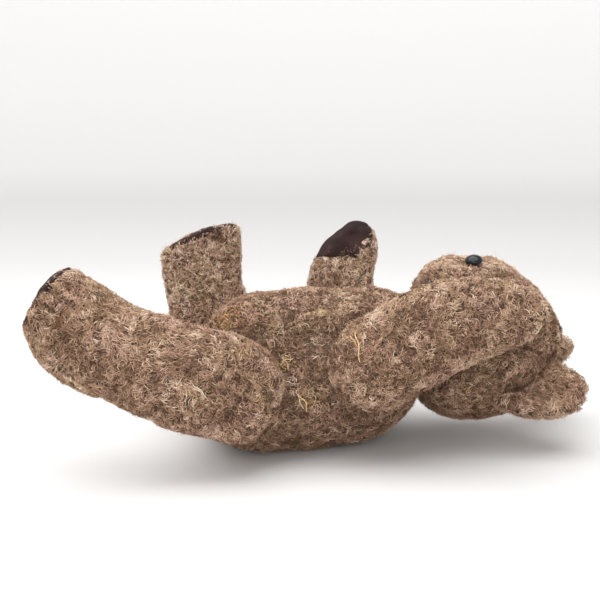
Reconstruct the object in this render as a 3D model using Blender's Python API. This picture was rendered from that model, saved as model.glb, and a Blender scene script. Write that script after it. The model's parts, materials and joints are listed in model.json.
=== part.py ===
"""A threadbare jointed teddy bear, about 0.44 m tall when it stands, lying on its back.

The bear's own frame runs along its body: X to the crown, Y to its right side, Z out of its belly.
Its origin is on the torso's axis. The frame is rolled about X, because the bear lies a little on its right
side. Five disc joints hold the head, arms and legs. Each joint's frame has its origin on the joint plane,
Z pointing out of the torso, and X along the limb or out of the face.
Shapes are worked out in millimetres and made into meshes in metres.
"""

import math

import bmesh
import bpy
import numpy as np
from mathutils import Matrix, Vector

MM = 0.001
GAP = 0.3  # left between pieces that touch

# How the bear lies.
AXIS_HEIGHT = 59.0
ROLL = -12.0
JOINT_GAP = 0.5  # between the torso cover and a limb cover
PLANE = 64.25  # middle of that gap, from the torso's mid-plane
COVER = 2.0  # plush backing and seam allowance

# Torso.
TORSO_ENDS = (-86.0, 99.0)
TORSO_CAPS = (50.0, 48.0)  # seen from the side
TORSO_WIDE_CAPS = (36.0, 42.0)  # seen from above: the seat is broad
NECK_PLANE = 90.25
TORSO_STATIONS = (-86.0, -20.0, 35.0, 99.0)
TORSO_HEIGHTS = (56.0, 61.0, 60.0, 53.0)
TORSO_WIDTHS = (95.0, 76.0, 74.0, 70.0)
TORSO_BENDS = (-5.0, -1.5, 0.5, 10.0)
TORSO_SQUARE = 2.6
TORSO_BACK_STATIONS = (-30.0, 15.0)
TORSO_BACK_SQUARES = (2.6, 1.95)  # the upper back is rounder

# Limbs: place of the joint, and the rest angles of the limbs from X towards Z.
HIP = (-54.0, -13.0)
SHOULDER = (44.0, 1.0)
LEG_ANGLES = {"left": 163.0, "right": 107.5}
ARM_ANGLES = {"left": 22.0, "right": 87.0}
LIMB_SQUARE = 2.3
PRESSED = 5.0  # how far a limb's inner side is pressed flat on the torso
LEG = {
    "start": -34.0,
    "lengths": {"left": 154.0, "right": 148.0},
    "caps": (36.0, 24.0),
    "soles": {"left": 140.0, "right": 127.5},  # how far along the leg's middle line
    "stations": (-34.0, 5.0, 45.0, 85.0, 115.0, 146.0),
    "widths": (36.0, 36.5, 36.0, 34.0, 36.0, 33.5),
    "thicknesses": (23.0, 24.0, 24.0, 22.0, 22.0, 22.0),
    "bends": (2.0, 2.0, 2.5, -1.5, -8.0, -17.0),
    "rise": 0.0,
}
SOLE_TURNS = {"left": 21.0, "right": -2.5}  # from across the leg, towards the front of the bear
SOLE_ROUND = 0.45  # how much of the end's rounding stays beyond the plane of a sole

ARM = {
    "start": -32.0,
    "lengths": {"left": 128.0, "right": 131.0},
    "caps": (34.0, 32.0),
    "stations": (-32.0, 0.0, 35.0, 80.0, 128.0),
    "widths": (32.0, 33.5, 34.0, 29.0, 23.0),
    "thicknesses": (19.0, 20.5, 20.0, 19.0, 16.0),
    "bends": (0.0, 0.0, 4.0, 3.0, -11.0),
    "rise": 21.0,
}

# Head, in the neck joint's frame: X out of the face, Y to the bear's left, Z to the crown.
NECK_RISE = 19.0
HEAD_TURN = 52.0
HEAD_DEPTH = 50.0  # from the neck plane to the widest part of the head
HEAD_FORWARD = 4.5
HEAD_BACK = 51.0
HEAD_CROWN = 68.0
HEAD_RADIUS = 64.5
MUZZLE_DROOP = 31.0
MUZZLE_LENGTH = 10.0
MUZZLE_SPREAD = 21.0
EYE_ANGLES = (-7.0, 22.0)  # towards the crown, towards the side
EYE_RADIUS = 7.0
EYE_HEIGHT = 4.2
NOSE_SIZE = (9.0, 6.0, 2.4)

# Ears: the middle of each flap about the head's middle, how far it leans to the crown, and half-sizes.
EAR_PLACE = {  # up, round from the face, out, lean
    "left": (33.0, 87.0, 54.0, 84.0),
    "right": (67.0, 156.0, 45.0, 44.0),
}
EAR_SIZES = {"left": (40.0, 28.5, 5.0), "right": (37.0, 25.0, 5.5)}
EAR_CUP = 6.0

# Joint hardware.
DISC_RADIUS = 13.5
DISC = 3.0
WASHER_RADIUS = 6.0
WASHER = 1.0
PIN_RADIUS = 1.25
PIN_HEAD_RADIUS = 3.2
PIN_HEAD = 1.8
LEG_WIRE = 0.8  # radius of the two bent legs of a split pin
LEG_REACH = 6.5
HOLE_RADIUS = 1.65
COVER_HOLE_RADIUS = 2.2

# How finely the meshes are divided.
BODY_RINGS, BODY_SIDES = 18, 20
LIMB_RINGS, LIMB_SIDES = 16, 16

MATERIALS = {
    "worn_plush": ((0.30, 0.22, 0.15, 1.0), 0.95, 0.0),
    "bare_plush": ((0.36, 0.26, 0.17, 1.0), 0.95, 0.0),
    "wood_wool": ((0.62, 0.50, 0.30, 1.0), 0.9, 0.0),
    "worn_leather": ((0.06, 0.035, 0.03, 1.0), 0.5, 0.0),
    "hardboard": ((0.22, 0.13, 0.07, 1.0), 0.8, 0.0),
    "dull_steel": ((0.45, 0.44, 0.42, 1.0), 0.45, 1.0),
    "black_glass": ((0.01, 0.012, 0.015, 1.0), 0.08, 0.0),
    "black_thread": ((0.02, 0.018, 0.016, 1.0), 0.8, 0.0),
}


def material(name):
    """The named finish, made the first time it is asked for."""
    found = bpy.data.materials.get(name)
    if found:
        return found
    colour, roughness, metallic = MATERIALS[name]
    made = bpy.data.materials.new(name)
    made.use_nodes = True
    shader = made.node_tree.nodes["Principled BSDF"]
    shader.inputs["Base Color"].default_value = colour
    shader.inputs["Roughness"].default_value = roughness
    shader.inputs["Metallic"].default_value = metallic
    return made


def add_object(name, points, faces, finish, frame):
    """A mesh object from points in millimetres of the frame, parented to it."""
    mesh = bpy.data.meshes.new(name)
    mesh.from_pydata((np.asarray(points) * MM).tolist(), [], faces)
    mesh.update()
    mesh.shade_smooth()
    mesh.set_sharp_from_angle(angle=math.radians(40))
    mesh.materials.append(material(finish))
    added = bpy.data.objects.new(name, mesh)
    bpy.context.scene.collection.objects.link(added)
    added.parent = frame
    return added


def add_frame(name, place, parent=None):
    """An empty at the given place, a matrix in metres in its parent's frame."""
    empty = bpy.data.objects.new(name, None)
    bpy.context.scene.collection.objects.link(empty)
    empty.parent = parent
    empty.location = place.to_translation()
    empty.rotation_euler = place.to_euler()
    return empty


def cut(target, name, cylinders):
    """Takes cylinders out of the target. Each is (matrix, radius, lowest, highest) along the matrix's Z."""
    mesh = bpy.data.meshes.new(name)
    shape = bmesh.new()
    for place, radius, low, high in cylinders:
        middle = Matrix.Translation((0, 0, (low + high) / 2 * MM))
        bmesh.ops.create_cone(
            shape,
            cap_ends=True,
            segments=16,
            radius1=radius * MM,
            radius2=radius * MM,
            depth=(high - low) * MM,
            matrix=place @ middle,
        )
    shape.to_mesh(mesh)
    shape.free()
    cutter = bpy.data.objects.new(name, mesh)
    bpy.context.scene.collection.objects.link(cutter)
    cutter.parent = target.parent
    subtract(target, cutter)


def subtract(target, cutter):
    """Takes the cutter out of the target with a Boolean, and hides the cutter."""
    cutter.hide_render = True
    cutter.display_type = "WIRE"
    boolean = target.modifiers.new(cutter.name, "BOOLEAN")
    boolean.operation = "DIFFERENCE"
    boolean.solver = "EXACT"
    boolean.use_self = True
    boolean.object = cutter


def curve_through(stations, values, at):
    """A smooth curve through (station, value) points: cubic pieces whose slopes are the mean of their neighbours."""
    stations = np.asarray(stations)
    values = np.asarray(values)
    slopes = np.gradient(values, stations)
    at = np.clip(at, stations[0], stations[-1])
    i = np.clip(np.searchsorted(stations, at, side="right") - 1, 0, len(stations) - 2)
    step = stations[i + 1] - stations[i]
    t = (at - stations[i]) / step
    start = (2 * t**3 - 3 * t**2 + 1) * values[i] + (t**3 - 2 * t**2 + t) * step * slopes[i]
    end = (3 * t**2 - 2 * t**3) * values[i + 1] + (t**3 - t**2) * step * slopes[i + 1]
    return start + end


def rounded_ends(at, ends, caps):
    """One along the body, falling to nothing at both ends as quarter ellipses of the given lengths."""
    first = np.clip((ends[0] + caps[0] - at) / caps[0], 0, 1)
    last = np.clip((at - ends[1] + caps[1]) / caps[1], 0, 1)
    return np.sqrt(1 - first**2) * np.sqrt(1 - last**2)


def squared_circle(sides, exponent, low_exponent=None):
    """Points of a circle pushed towards a square, as two columns of numbers, with its lower half pushed less."""
    turn = np.arange(sides) * 2 * math.pi / sides
    across, up = np.cos(turn), np.sin(turn)
    power = 2 / np.where(up < 0, exponent if low_exponent is None else low_exponent, exponent)
    return np.sign(across) * abs(across) ** power, np.sign(up) * abs(up) ** power


def along(ends, rings):
    """Stations from end to end, closer together near the ends, as a column."""
    turn = np.linspace(0, math.pi, rings)[:, None]
    return (ends[0] + ends[1]) / 2 - (ends[1] - ends[0]) / 2 * np.cos(turn)


def closed_faces(rings, sides):
    """Faces of a closed skin: a first point, rings of points, and a last point."""
    last = 1 + (rings - 2) * sides
    faces = []
    for side in range(sides):
        beside = (side + 1) % sides
        faces.append((0, 1 + beside, 1 + side))
        for ring in range(rings - 3):
            low = 1 + ring * sides
            high = low + sides
            faces.append((low + side, low + beside, high + beside, high + side))
        faces.append((last - sides + side, last - sides + beside, last))
    return faces


def closed_points(rows):
    """The points of a skin whose first and last rings are single points."""
    return np.vstack([rows[0, :1], rows[1:-1].reshape(-1, 3), rows[-1, :1]])


def outward(points, faces):
    """The faces as triangles that point out of the closed skin, and the skin's normals at its points."""
    mesh = bpy.data.meshes.new("measured")
    mesh.from_pydata(points.tolist(), [], faces)
    shape = bmesh.new()
    shape.from_mesh(mesh)
    bmesh.ops.triangulate(shape, faces=shape.faces, quad_method="SHORT_EDGE")
    bmesh.ops.recalc_face_normals(shape, faces=shape.faces)
    triangles = [tuple(vertex.index for vertex in face.verts) for face in shape.faces]
    shape.to_mesh(mesh)
    shape.free()
    normals = np.empty(len(points) * 3)
    mesh.vertices.foreach_get("normal", normals)
    bpy.data.meshes.remove(mesh)
    return triangles, normals.reshape(-1, 3)


def add_stuffed(name, rows, frame, cover_holes, pockets):
    """A hollow cover with its stuffing, from the rows of points of the outer surface.

    The cover's inner wall and the stuffing are the outer surface moved in along its normals.
    """
    points = closed_points(rows)
    faces, normals = outward(points, closed_faces(*rows.shape[:2]))
    inner = [tuple(index + len(points) for index in reversed(face)) for face in faces]
    walls = np.vstack([points, points - COVER * normals])
    cover = add_object(f"{name}_cover", walls, faces + inner, "worn_plush", frame)
    cut(cover, f"{name}_cover_holes", cover_holes)
    filled = points - (COVER + GAP) * normals
    stuffing = add_object(f"{name}_stuffing", filled, faces, "wood_wool", frame)
    cut(stuffing, f"{name}_stuffing_pockets", pockets)
    return points, faces, normals


def turned(name, profile, sides, finish, frame):
    """A round piece turned about Z from a closed loop of (radius, height) points."""
    turn = np.arange(sides) * 2 * math.pi / sides
    radius, height = np.asarray(profile, float).T[:, :, None]
    rows = np.stack([radius * np.cos(turn), radius * np.sin(turn), height + 0 * turn], axis=-1)
    count = len(profile)
    faces = []
    for i in range(count):
        low, high = i * sides, (i + 1) % count * sides
        for side in range(sides):
            beside = (side + 1) % sides
            faces.append((low + side, low + beside, high + beside, high + side))
    points = rows.reshape(-1, 3)
    return add_object(name, points, outward(points, faces)[0], finish, frame)


def turned_solid(name, profile, sides, finish, frame):
    """A round solid turned about Z from (radius, height) points that start and end on the axis."""
    turn = np.arange(sides) * 2 * math.pi / sides
    radius, height = np.asarray(profile, float).T[:, :, None]
    rows = np.stack([radius * np.cos(turn), radius * np.sin(turn), height + 0 * turn], axis=-1)
    points = closed_points(rows)
    return add_object(name, points, outward(points, closed_faces(len(profile), sides))[0], finish, frame)


def tube(name, path, radius, sides, finish, frame):
    """A round wire along the path, with flat ends."""
    path = np.asarray(path, float)
    heading = np.gradient(path, axis=0)
    heading /= np.linalg.norm(heading, axis=1, keepdims=True)
    first = np.cross(heading, (0.31, 0.17, 1.0))
    first /= np.linalg.norm(first, axis=1, keepdims=True)
    second = np.cross(heading, first)
    turn = np.arange(sides) * 2 * math.pi / sides
    circle = first[:, None] * np.cos(turn)[:, None] + second[:, None] * np.sin(turn)[:, None]
    rows = path[:, None] + radius * circle
    caps = [np.repeat(path[end][None, None], sides, axis=1) for end in (0, -1)]
    points = closed_points(np.vstack([caps[0], rows, caps[1]]))
    return add_object(name, points, outward(points, closed_faces(len(path) + 2, sides))[0], finish, frame)


def plate_on(name, points, faces, normals, chosen, thickness, finish, frame):
    """A thin plate that follows the chosen faces of a skin, a gap above it."""
    inside = chosen(points, normals)
    plate = [face for face in faces if inside[list(face)].all()]
    used = sorted({index for face in plate for index in face})
    number = {index: i for i, index in enumerate(used)}
    count = len(used)
    low = points[used] + GAP * normals[used]
    high = low + thickness * normals[used]
    top = [tuple(number[i] + count for i in face) for face in plate]
    bottom = [tuple(number[i] for i in reversed(face)) for face in plate]
    edges = {(face[i - 1], face[i]) for face in plate for i in range(len(face))}
    rim = [edge for edge in edges if edge[::-1] not in edges]
    sides = [(number[a], number[b], number[b] + count, number[a] + count) for a, b in sorted(rim)]
    shape = np.vstack([low, high])
    return add_object(name, shape, top + bottom + sides, finish, frame)


def to_floor(points, frame):
    """Points that would be under the floor, lifted to it. The frame is a matrix in metres."""
    frame = np.array(frame)
    world = points @ frame[:3, :3].T + frame[:3, 3] / MM
    world[..., 2] = np.maximum(world[..., 2], 0)
    return (world - frame[:3, 3] / MM) @ frame[:3, :3]


def joint_place(x, across, z, out, ahead):
    """A joint's frame in the bear's frame: Z along out, X along ahead."""
    out = Vector(out)
    ahead = Vector(ahead)
    beside = out.cross(ahead)
    place = Matrix((ahead, beside, out)).transposed().to_4x4()
    place.translation = Vector((x, across, z)) * MM
    return place


def side_joint(side, at, angle):
    """The frame of a shoulder or a hip."""
    sign = 1 if side == "right" else -1
    turn = math.radians(angle)
    ahead = (math.cos(turn), 0, math.sin(turn))
    return joint_place(at[0], sign * PLANE, at[1], (0, sign, 0), ahead)


def neck_joint():
    """The frame of the neck, with X out of the face."""
    turn = math.radians(HEAD_TURN)
    return joint_place(NECK_PLANE, 0, NECK_RISE, (1, 0, 0), (0, -math.sin(turn), math.cos(turn)))


BEAR_PLACE = Matrix.Translation((0, 0, AXIS_HEIGHT * MM)) @ Matrix.Rotation(math.radians(ROLL), 4, "X")
JOINTS = {"neck": neck_joint()}
for side_name in ("left", "right"):
    JOINTS[f"shoulder_{side_name}"] = side_joint(side_name, SHOULDER, ARM_ANGLES[side_name])
    JOINTS[f"hip_{side_name}"] = side_joint(side_name, HIP, LEG_ANGLES[side_name])

DISC_START = JOINT_GAP / 2 + COVER + GAP
WASHER_START = DISC_START + DISC + GAP
END_START = WASHER_START + WASHER + GAP


def hardware_pockets(place, outward_side):
    """The room that a disc, a washer and the end of a pin need in the stuffing on one side of a joint."""
    sign = 1 if outward_side else -1
    deep = END_START + 2 * LEG_WIRE + 2 * GAP
    steps = ((DISC_RADIUS + 2 * GAP, WASHER_START), (LEG_REACH + 1.5, deep))
    return [(place, radius, *sorted((0.0, sign * depth))) for radius, depth in steps]


def pin_hole(place, outward_side):
    """The hole for a pin in the cover on one side of a joint."""
    sign = 1 if outward_side else -1
    return (place, COVER_HOLE_RADIUS, *sorted((0.0, sign * (JOINT_GAP + COVER + 1))))


def plate_ring(name, radius, start, thickness, sides, finish, frame, sign):
    """A flat disc with a hole, from start to start + thickness on one side of the joint plane."""
    low, high = sorted((sign * start, sign * (start + thickness)))
    profile = ((HOLE_RADIUS, low), (radius, low), (radius, high), (HOLE_RADIUS, high))
    return turned(name, profile, sides, finish, frame)


def split_pin(name, frame):
    """A pin with a domed head in the limb, and two legs bent apart behind the torso's washer."""
    head_top = END_START + PIN_HEAD
    leg_middle = -END_START - LEG_WIRE
    profile = (
        (0.0, head_top),
        (PIN_HEAD_RADIUS * 0.6, head_top - 0.3),
        (PIN_HEAD_RADIUS, END_START + PIN_HEAD / 2),
        (PIN_HEAD_RADIUS * 0.8, END_START),
        (PIN_RADIUS, END_START),
        (PIN_RADIUS, leg_middle),
        (0.0, leg_middle),
    )
    pin = turned_solid(name, profile, 10, "dull_steel", frame)
    share = np.linspace(-1, 1, 11)
    hook = 2.4 * np.sign(share) * np.clip(abs(share) - 0.5, 0, 1) ** 2 * 4
    reach = LEG_REACH * np.sin(share * math.pi / 2)
    path = np.stack([reach, hook, np.full_like(share, leg_middle)], axis=-1)
    legs = tube(f"{name}_legs", path, LEG_WIRE, 6, "dull_steel", frame)
    legs.hide_render = True
    legs.display_type = "WIRE"
    join = pin.modifiers.new("legs", "BOOLEAN")
    join.operation = "UNION"
    join.solver = "EXACT"
    join.object = legs


def add_joint_hardware(name, torso_side, limb_side):
    """The two discs, two washers and split pin of one joint."""
    plate_ring(f"{name}_inner_disc", DISC_RADIUS, DISC_START, DISC, 20, "hardboard", torso_side, -1)
    plate_ring(f"{name}_inner_washer", WASHER_RADIUS, WASHER_START, WASHER, 12, "dull_steel", torso_side, -1)
    plate_ring(f"{name}_outer_disc", DISC_RADIUS, DISC_START, DISC, 20, "hardboard", limb_side, 1)
    plate_ring(f"{name}_outer_washer", WASHER_RADIUS, WASHER_START, WASHER, 12, "dull_steel", limb_side, 1)
    split_pin(f"{name}_split_pin", limb_side)


def add_torso(frame):
    """The torso: an oval stuffed bag, flat at its sides, at the neck and where it lies on the floor."""
    at = along(TORSO_ENDS, BODY_RINGS)
    share = rounded_ends(at, TORSO_ENDS, TORSO_CAPS)
    wide_share = rounded_ends(at, TORSO_ENDS, TORSO_WIDE_CAPS)
    back_square = np.interp(at, TORSO_BACK_STATIONS, TORSO_BACK_SQUARES)
    across, up = squared_circle(BODY_SIDES, TORSO_SQUARE, back_square)
    side = PLANE - JOINT_GAP / 2
    x = np.minimum(at + 0 * across, NECK_PLANE - JOINT_GAP / 2)
    y = np.clip(curve_through(TORSO_STATIONS, TORSO_WIDTHS, at) * wide_share * across, -side, side)
    z = curve_through(TORSO_STATIONS, TORSO_BENDS, at)
    z = z + curve_through(TORSO_STATIONS, TORSO_HEIGHTS, at) * share * up
    rows = to_floor(np.stack([x, y, z], axis=-1), BEAR_PLACE)
    holes = [pin_hole(place, False) for place in JOINTS.values()]
    pockets = [pocket for place in JOINTS.values() for pocket in hardware_pockets(place, False)]
    add_stuffed("torso", rows, frame, holes, pockets)


def sole_normal(side):
    """Which way a sole faces in its leg's frame: the X and Y of a unit vector."""
    turn = math.radians(SOLE_TURNS[side])
    return math.cos(turn), -math.sin(turn) if side == "left" else math.sin(turn)


def over_sole(x, y, side):
    """How far points of a leg are beyond the plane of its sole."""
    normal = sole_normal(side)
    return x * normal[0] + y * normal[1] - LEG["soles"][side]


def limb_rows(shape, side, place):
    """The outer surface of a limb: ovals along a bent line, pressed flat on the inner side."""
    ends = (shape["start"], shape["lengths"][side])
    at = along(ends, LIMB_RINGS)
    share = rounded_ends(at, ends, shape["caps"])
    across, up = squared_circle(LIMB_SIDES, LIMB_SQUARE)
    width = curve_through(shape["stations"], shape["widths"], at) * share
    thickness = curve_through(shape["stations"], shape["thicknesses"], at)
    bend = curve_through(shape["stations"], shape["bends"], at)
    reach = np.clip(at / ends[1], 0, 1)
    rise = shape["rise"] * reach**2
    bottom = JOINT_GAP / 2
    sign = -1 if side == "right" else 1
    x = at + 0 * across
    y = sign * (bend + width * across)
    z = bottom + rise + np.maximum(thickness * (1 + share * up) - PRESSED, 0)
    if "soles" in shape:
        beyond = np.maximum(over_sole(x, y, side), 0) * (1 - SOLE_ROUND)
        normal = sole_normal(side)
        x, y = x - beyond * normal[0], y - beyond * normal[1]
    return to_floor(np.stack([x, y, z], axis=-1), BEAR_PLACE @ place)


def add_limb(name, side, shape, joint, torso_side, frame):
    """A stuffed arm or leg with its joint's hardware."""
    rows = limb_rows(shape, side, JOINTS[joint])
    local = Matrix.Identity(4)
    skin = add_stuffed(f"{name}_{side}", rows, frame, [pin_hole(local, True)], hardware_pockets(local, True))
    add_joint_hardware(joint, torso_side, frame)
    return skin


def add_foot_pad(side, skin, frame):
    """A leather sole that follows the end of the leg."""

    def on_sole(points, normals):
        return over_sole(points[:, 0], points[:, 1], side) > -0.5

    plate_on(f"foot_pad_{side}", *skin, on_sole, 1.0, "worn_leather", frame)


def add_paw_pad(side, skin, frame):
    """A leather palm on the inner side of the paw."""
    palm_start = 88.0

    def on_palm(points, normals):
        return (points[:, 0] > palm_start) & (normals[:, 2] < -0.2)

    plate_on(f"paw_pad_{side}", *skin, on_palm, 1.0, "worn_leather", frame)


def head_reach(direction):
    """How far the head's surface is from its middle, along unit vectors (face, left, crown).

    An egg turned about the crown axis, with a rounded bump for the muzzle.
    """
    up = direction[..., 2]
    level = np.sqrt(np.maximum(1 - up**2, 0))
    exponent = np.where(up < 0, 3.2, 1.6)
    length = np.where(up < 0, HEAD_BACK, HEAD_CROWN)
    reach = (abs(up / length) ** exponent + (level / HEAD_RADIUS) ** exponent) ** (-1 / exponent)
    droop = math.radians(MUZZLE_DROOP)
    snout = np.array((math.cos(droop), 0, -math.sin(droop)))
    away = np.degrees(np.arccos(np.clip(direction @ snout, -1, 1)))
    return reach + MUZZLE_LENGTH * np.exp(-((away / MUZZLE_SPREAD) ** 4))


def head_direction(crown, side):
    """Unit vector (face, left, crown), turned in degrees from the face to the crown and to the left side."""
    crown, side = np.radians(crown), np.radians(side)
    level = np.cos(crown)
    return np.stack([level * np.cos(side), level * np.sin(side), np.sin(crown) + 0 * side], axis=-1)


def head_point(crown, side, above=0.0):
    """A point of the head's surface, or above it, in the neck joint's frame."""
    direction = head_direction(crown, side)
    return direction * (head_reach(direction) + above)[..., None] + (HEAD_FORWARD, 0, HEAD_DEPTH)


def head_rows():
    """The head's surface, flat at the neck."""
    down = np.linspace(0, math.pi, BODY_RINGS)[:, None]
    round_ = np.arange(BODY_SIDES) * 2 * math.pi / BODY_SIDES
    direction = np.stack([
        np.sin(down) * np.cos(round_), np.sin(down) * np.sin(round_), -np.cos(down) + 0 * round_
    ], axis=-1)
    rows = direction * head_reach(direction)[..., None] + (HEAD_FORWARD, 0, HEAD_DEPTH)
    rows[..., 2] = np.maximum(rows[..., 2], JOINT_GAP / 2)
    return rows


def surface_place(crown, side):
    """A frame on the head's surface with Z pointing out, in the neck joint's frame."""
    at = Vector(head_point(crown, side)) * MM
    out = Vector(head_direction(crown, side))
    return Matrix.Translation(at) @ out.to_track_quat("Z", "Y").to_matrix().to_4x4()


def add_eye(side, frame):
    """A glass eye with a flat back, and its wire shank, which goes through the cover."""
    sign = 1 if side == "left" else -1
    place = surface_place(EYE_ANGLES[0], sign * EYE_ANGLES[1])
    eye_frame = add_frame(f"eye_frame_{side}", place, frame)
    back = 1.8
    turns = np.linspace(0, math.pi / 2, 6)
    dome = [(EYE_RADIUS * math.cos(turn), back + 1.0 + EYE_HEIGHT * math.sin(turn)) for turn in turns]
    profile = [(0.0, back), (EYE_RADIUS * 0.85, back), *dome[:-1], (0.0, dome[-1][1])]
    turned_solid(f"eye_{side}", profile, 16, "black_glass", eye_frame)
    path = [(0, 0, back - GAP), (0, 0, -4.0), (0, 0, -8.0)]
    tube(f"eye_shank_{side}", path, 0.7, 8, "dull_steel", eye_frame)
    return (place, 1.3, -COVER - 2.0, 3.0), (place, 1.6, -9.0, 3.0)


def add_nose(frame):
    """A pad of black stitches on the end of the muzzle."""
    place = surface_place(-MUZZLE_DROOP - 8, 0)
    nose_frame = add_frame("nose_frame", place, frame)
    half_x, half_y, height = NOSE_SIZE
    down = np.linspace(0, math.pi, 7)[:, None]
    round_ = np.arange(16) * 2 * math.pi / 16
    lift = height / 2 + GAP + 0.2
    rows = np.stack([
        half_x * np.sin(down) * np.cos(round_),
        half_y * np.sin(down) * np.sin(round_),
        lift - height / 2 * np.cos(down) + 0 * round_,
    ], axis=-1)
    points = closed_points(rows)
    add_object("nose", points, outward(points, closed_faces(7, 16))[0], "black_thread", nose_frame)


def add_mouth(frame):
    """A stitched mouth: one thread from the nose down, and one curved thread across its end."""
    top, bottom, spread = -MUZZLE_DROOP - 13, -MUZZLE_DROOP - 18, 9.0
    side = np.linspace(-spread, spread, 9)
    crown = bottom + 4 * (side / spread) ** 2
    path = head_point(crown, side, 1.1)
    tube("mouth_thread", path, 0.6, 8, "black_thread", frame)
    crown = np.linspace(top, bottom + 1.6, 5)
    tube("lip_thread", head_point(crown, 0 * crown, 1.1), 0.6, 8, "black_thread", frame)


def add_ear(side, head_skin, frame):
    """A cupped plush flap sewn to the head along its lower edge."""
    sign = 1 if side == "left" else -1
    up, round_from_face, out, lean = EAR_PLACE[side]
    turn, lean = math.radians(round_from_face), math.radians(lean)
    radial = Vector((math.cos(turn), sign * math.sin(turn), 0))
    middle = radial * out + Vector((HEAD_FORWARD, 0, HEAD_DEPTH + up))
    reach = radial * math.cos(lean) + Vector((0, 0, math.sin(lean)))
    forward = Vector((math.sin(turn), -sign * math.cos(turn), 0))
    seam = forward.cross(reach)
    place = Matrix((reach, seam, forward)).transposed().to_4x4()
    place.translation = middle * MM
    ear_frame = add_frame(f"ear_frame_{side}", place, frame)
    down = np.linspace(0, math.pi, 11)[:, None]
    round_ = np.arange(18) * 2 * math.pi / 18
    length, width, thickness = EAR_SIZES[side]
    x = length * np.sin(down) * np.cos(round_)
    y = width * np.sin(down) * np.sin(round_)
    cup = EAR_CUP * ((x / length) ** 2 + (y / width) ** 2) - EAR_CUP / 2
    z = cup - thickness * np.cos(down)
    points = closed_points(np.stack([x, y, z + 0 * round_], axis=-1))
    ear = add_object(f"ear_{side}", points, outward(points, closed_faces(11, 18))[0], "bare_plush", ear_frame)
    points, faces, normals = head_skin
    cutter = add_object(f"ear_{side}_seat", points + 2 * GAP * normals, faces, "worn_plush", frame)
    subtract(ear, cutter)


def add_head(torso_side, frame):
    """The stuffed head with its ears, eyes, nose and mouth."""
    holes = [pin_hole(Matrix.Identity(4), True)]
    pockets = hardware_pockets(Matrix.Identity(4), True)
    for side in ("left", "right"):
        hole, pocket = add_eye(side, frame)
        holes.append(hole)
        pockets.append(pocket)
    skin = add_stuffed("head", head_rows(), frame, holes, pockets)
    add_joint_hardware("neck", torso_side, frame)
    for side in ("left", "right"):
        add_ear(side, skin, frame)
    add_nose(frame)
    add_mouth(frame)


def build():
    """Clears the scene and makes the bear."""
    for old in list(bpy.data.objects):
        bpy.data.objects.remove(old)
    bear = add_frame("bear_frame", BEAR_PLACE)
    add_torso(bear)
    fixed = {name: add_frame(f"{name}_in_torso", place, bear) for name, place in JOINTS.items()}
    moving = {name: add_frame(f"{name}_joint", place, bear) for name, place in JOINTS.items()}
    for side in ("left", "right"):
        hip = f"hip_{side}"
        skin = add_limb("leg", side, LEG, hip, fixed[hip], moving[hip])
        add_foot_pad(side, skin, moving[hip])
        shoulder = f"shoulder_{side}"
        skin = add_limb("arm", side, ARM, shoulder, fixed[shoulder], moving[shoulder])
        add_paw_pad(side, skin, moving[shoulder])
    add_head(fixed["neck"], moving["neck"])


build()
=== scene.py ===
"""A threadbare jointed teddy bear that lies on its back: the finish of every piece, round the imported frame.

Lengths are in metres. A piece is worked out in the frame that part of the bear has of its own, such as a
joint's, and put in place by numpy, so every finished object sits at the origin.
"""

import math

import bpy
import numpy as np
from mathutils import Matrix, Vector
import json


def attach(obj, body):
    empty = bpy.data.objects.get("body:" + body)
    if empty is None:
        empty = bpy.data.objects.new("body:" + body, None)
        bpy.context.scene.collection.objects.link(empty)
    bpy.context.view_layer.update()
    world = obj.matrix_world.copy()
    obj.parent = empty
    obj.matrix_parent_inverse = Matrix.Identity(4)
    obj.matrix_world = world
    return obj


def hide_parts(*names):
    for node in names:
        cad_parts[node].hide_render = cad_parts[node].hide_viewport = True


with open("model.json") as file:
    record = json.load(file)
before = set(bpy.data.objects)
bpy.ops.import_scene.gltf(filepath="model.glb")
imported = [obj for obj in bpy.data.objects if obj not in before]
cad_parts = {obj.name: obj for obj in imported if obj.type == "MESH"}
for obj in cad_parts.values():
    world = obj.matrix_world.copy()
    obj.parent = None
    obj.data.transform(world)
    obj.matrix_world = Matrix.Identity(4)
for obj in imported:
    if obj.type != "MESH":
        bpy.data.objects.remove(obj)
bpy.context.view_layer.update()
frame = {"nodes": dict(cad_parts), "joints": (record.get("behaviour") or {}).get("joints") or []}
scene = bpy.context.scene

# ------------------------------
# The room, which isn't part of the bear: a bowl of white paper that curves up all round and glows a little,
# as a light tent does, with pale light from its open top, a broad lamp overhead and a weak one by the camera.

MM = 0.001
CAMERA_PLACE = (-0.0597, -0.6821, 0.2055)
CAMERA_TURN = math.radians(4.87)  # to the right of straight ahead
CAMERA_DIP = math.radians(7.69)
LENS = 52.5


def new_piece(name, points, faces):
    """A smooth mesh object at the origin, from an array of points and a list of faces."""
    mesh = bpy.data.meshes.new(name)
    mesh.from_pydata(np.asarray(points, float).reshape(-1, 3).tolist(), [], faces)
    mesh.update()
    mesh.shade_smooth()
    piece = bpy.data.objects.new(name, mesh)
    scene.collection.objects.link(piece)
    return piece


def grid_faces(rows, columns, first=0):
    """Four-cornered faces between rows of points, each row closed on itself. Numbers start at first."""
    ring = np.arange(rows * columns).reshape(rows, columns) + first
    beside = np.roll(ring, -1, axis=1)
    return np.stack([ring[:-1], beside[:-1], beside[1:], ring[1:]], axis=-1).reshape(-1, 4).tolist()


def full_turn(sides):
    """Evenly spaced angles round a circle."""
    return np.arange(sides) * 2 * math.pi / sides


def lathe(radius, height, sides):
    """Rings of points about Z, one for each radius and height."""
    turn, radius = full_turn(sides), radius[:, None]
    return np.stack([radius * np.cos(turn), radius * np.sin(turn), height[:, None] + 0 * turn], axis=-1)


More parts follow.
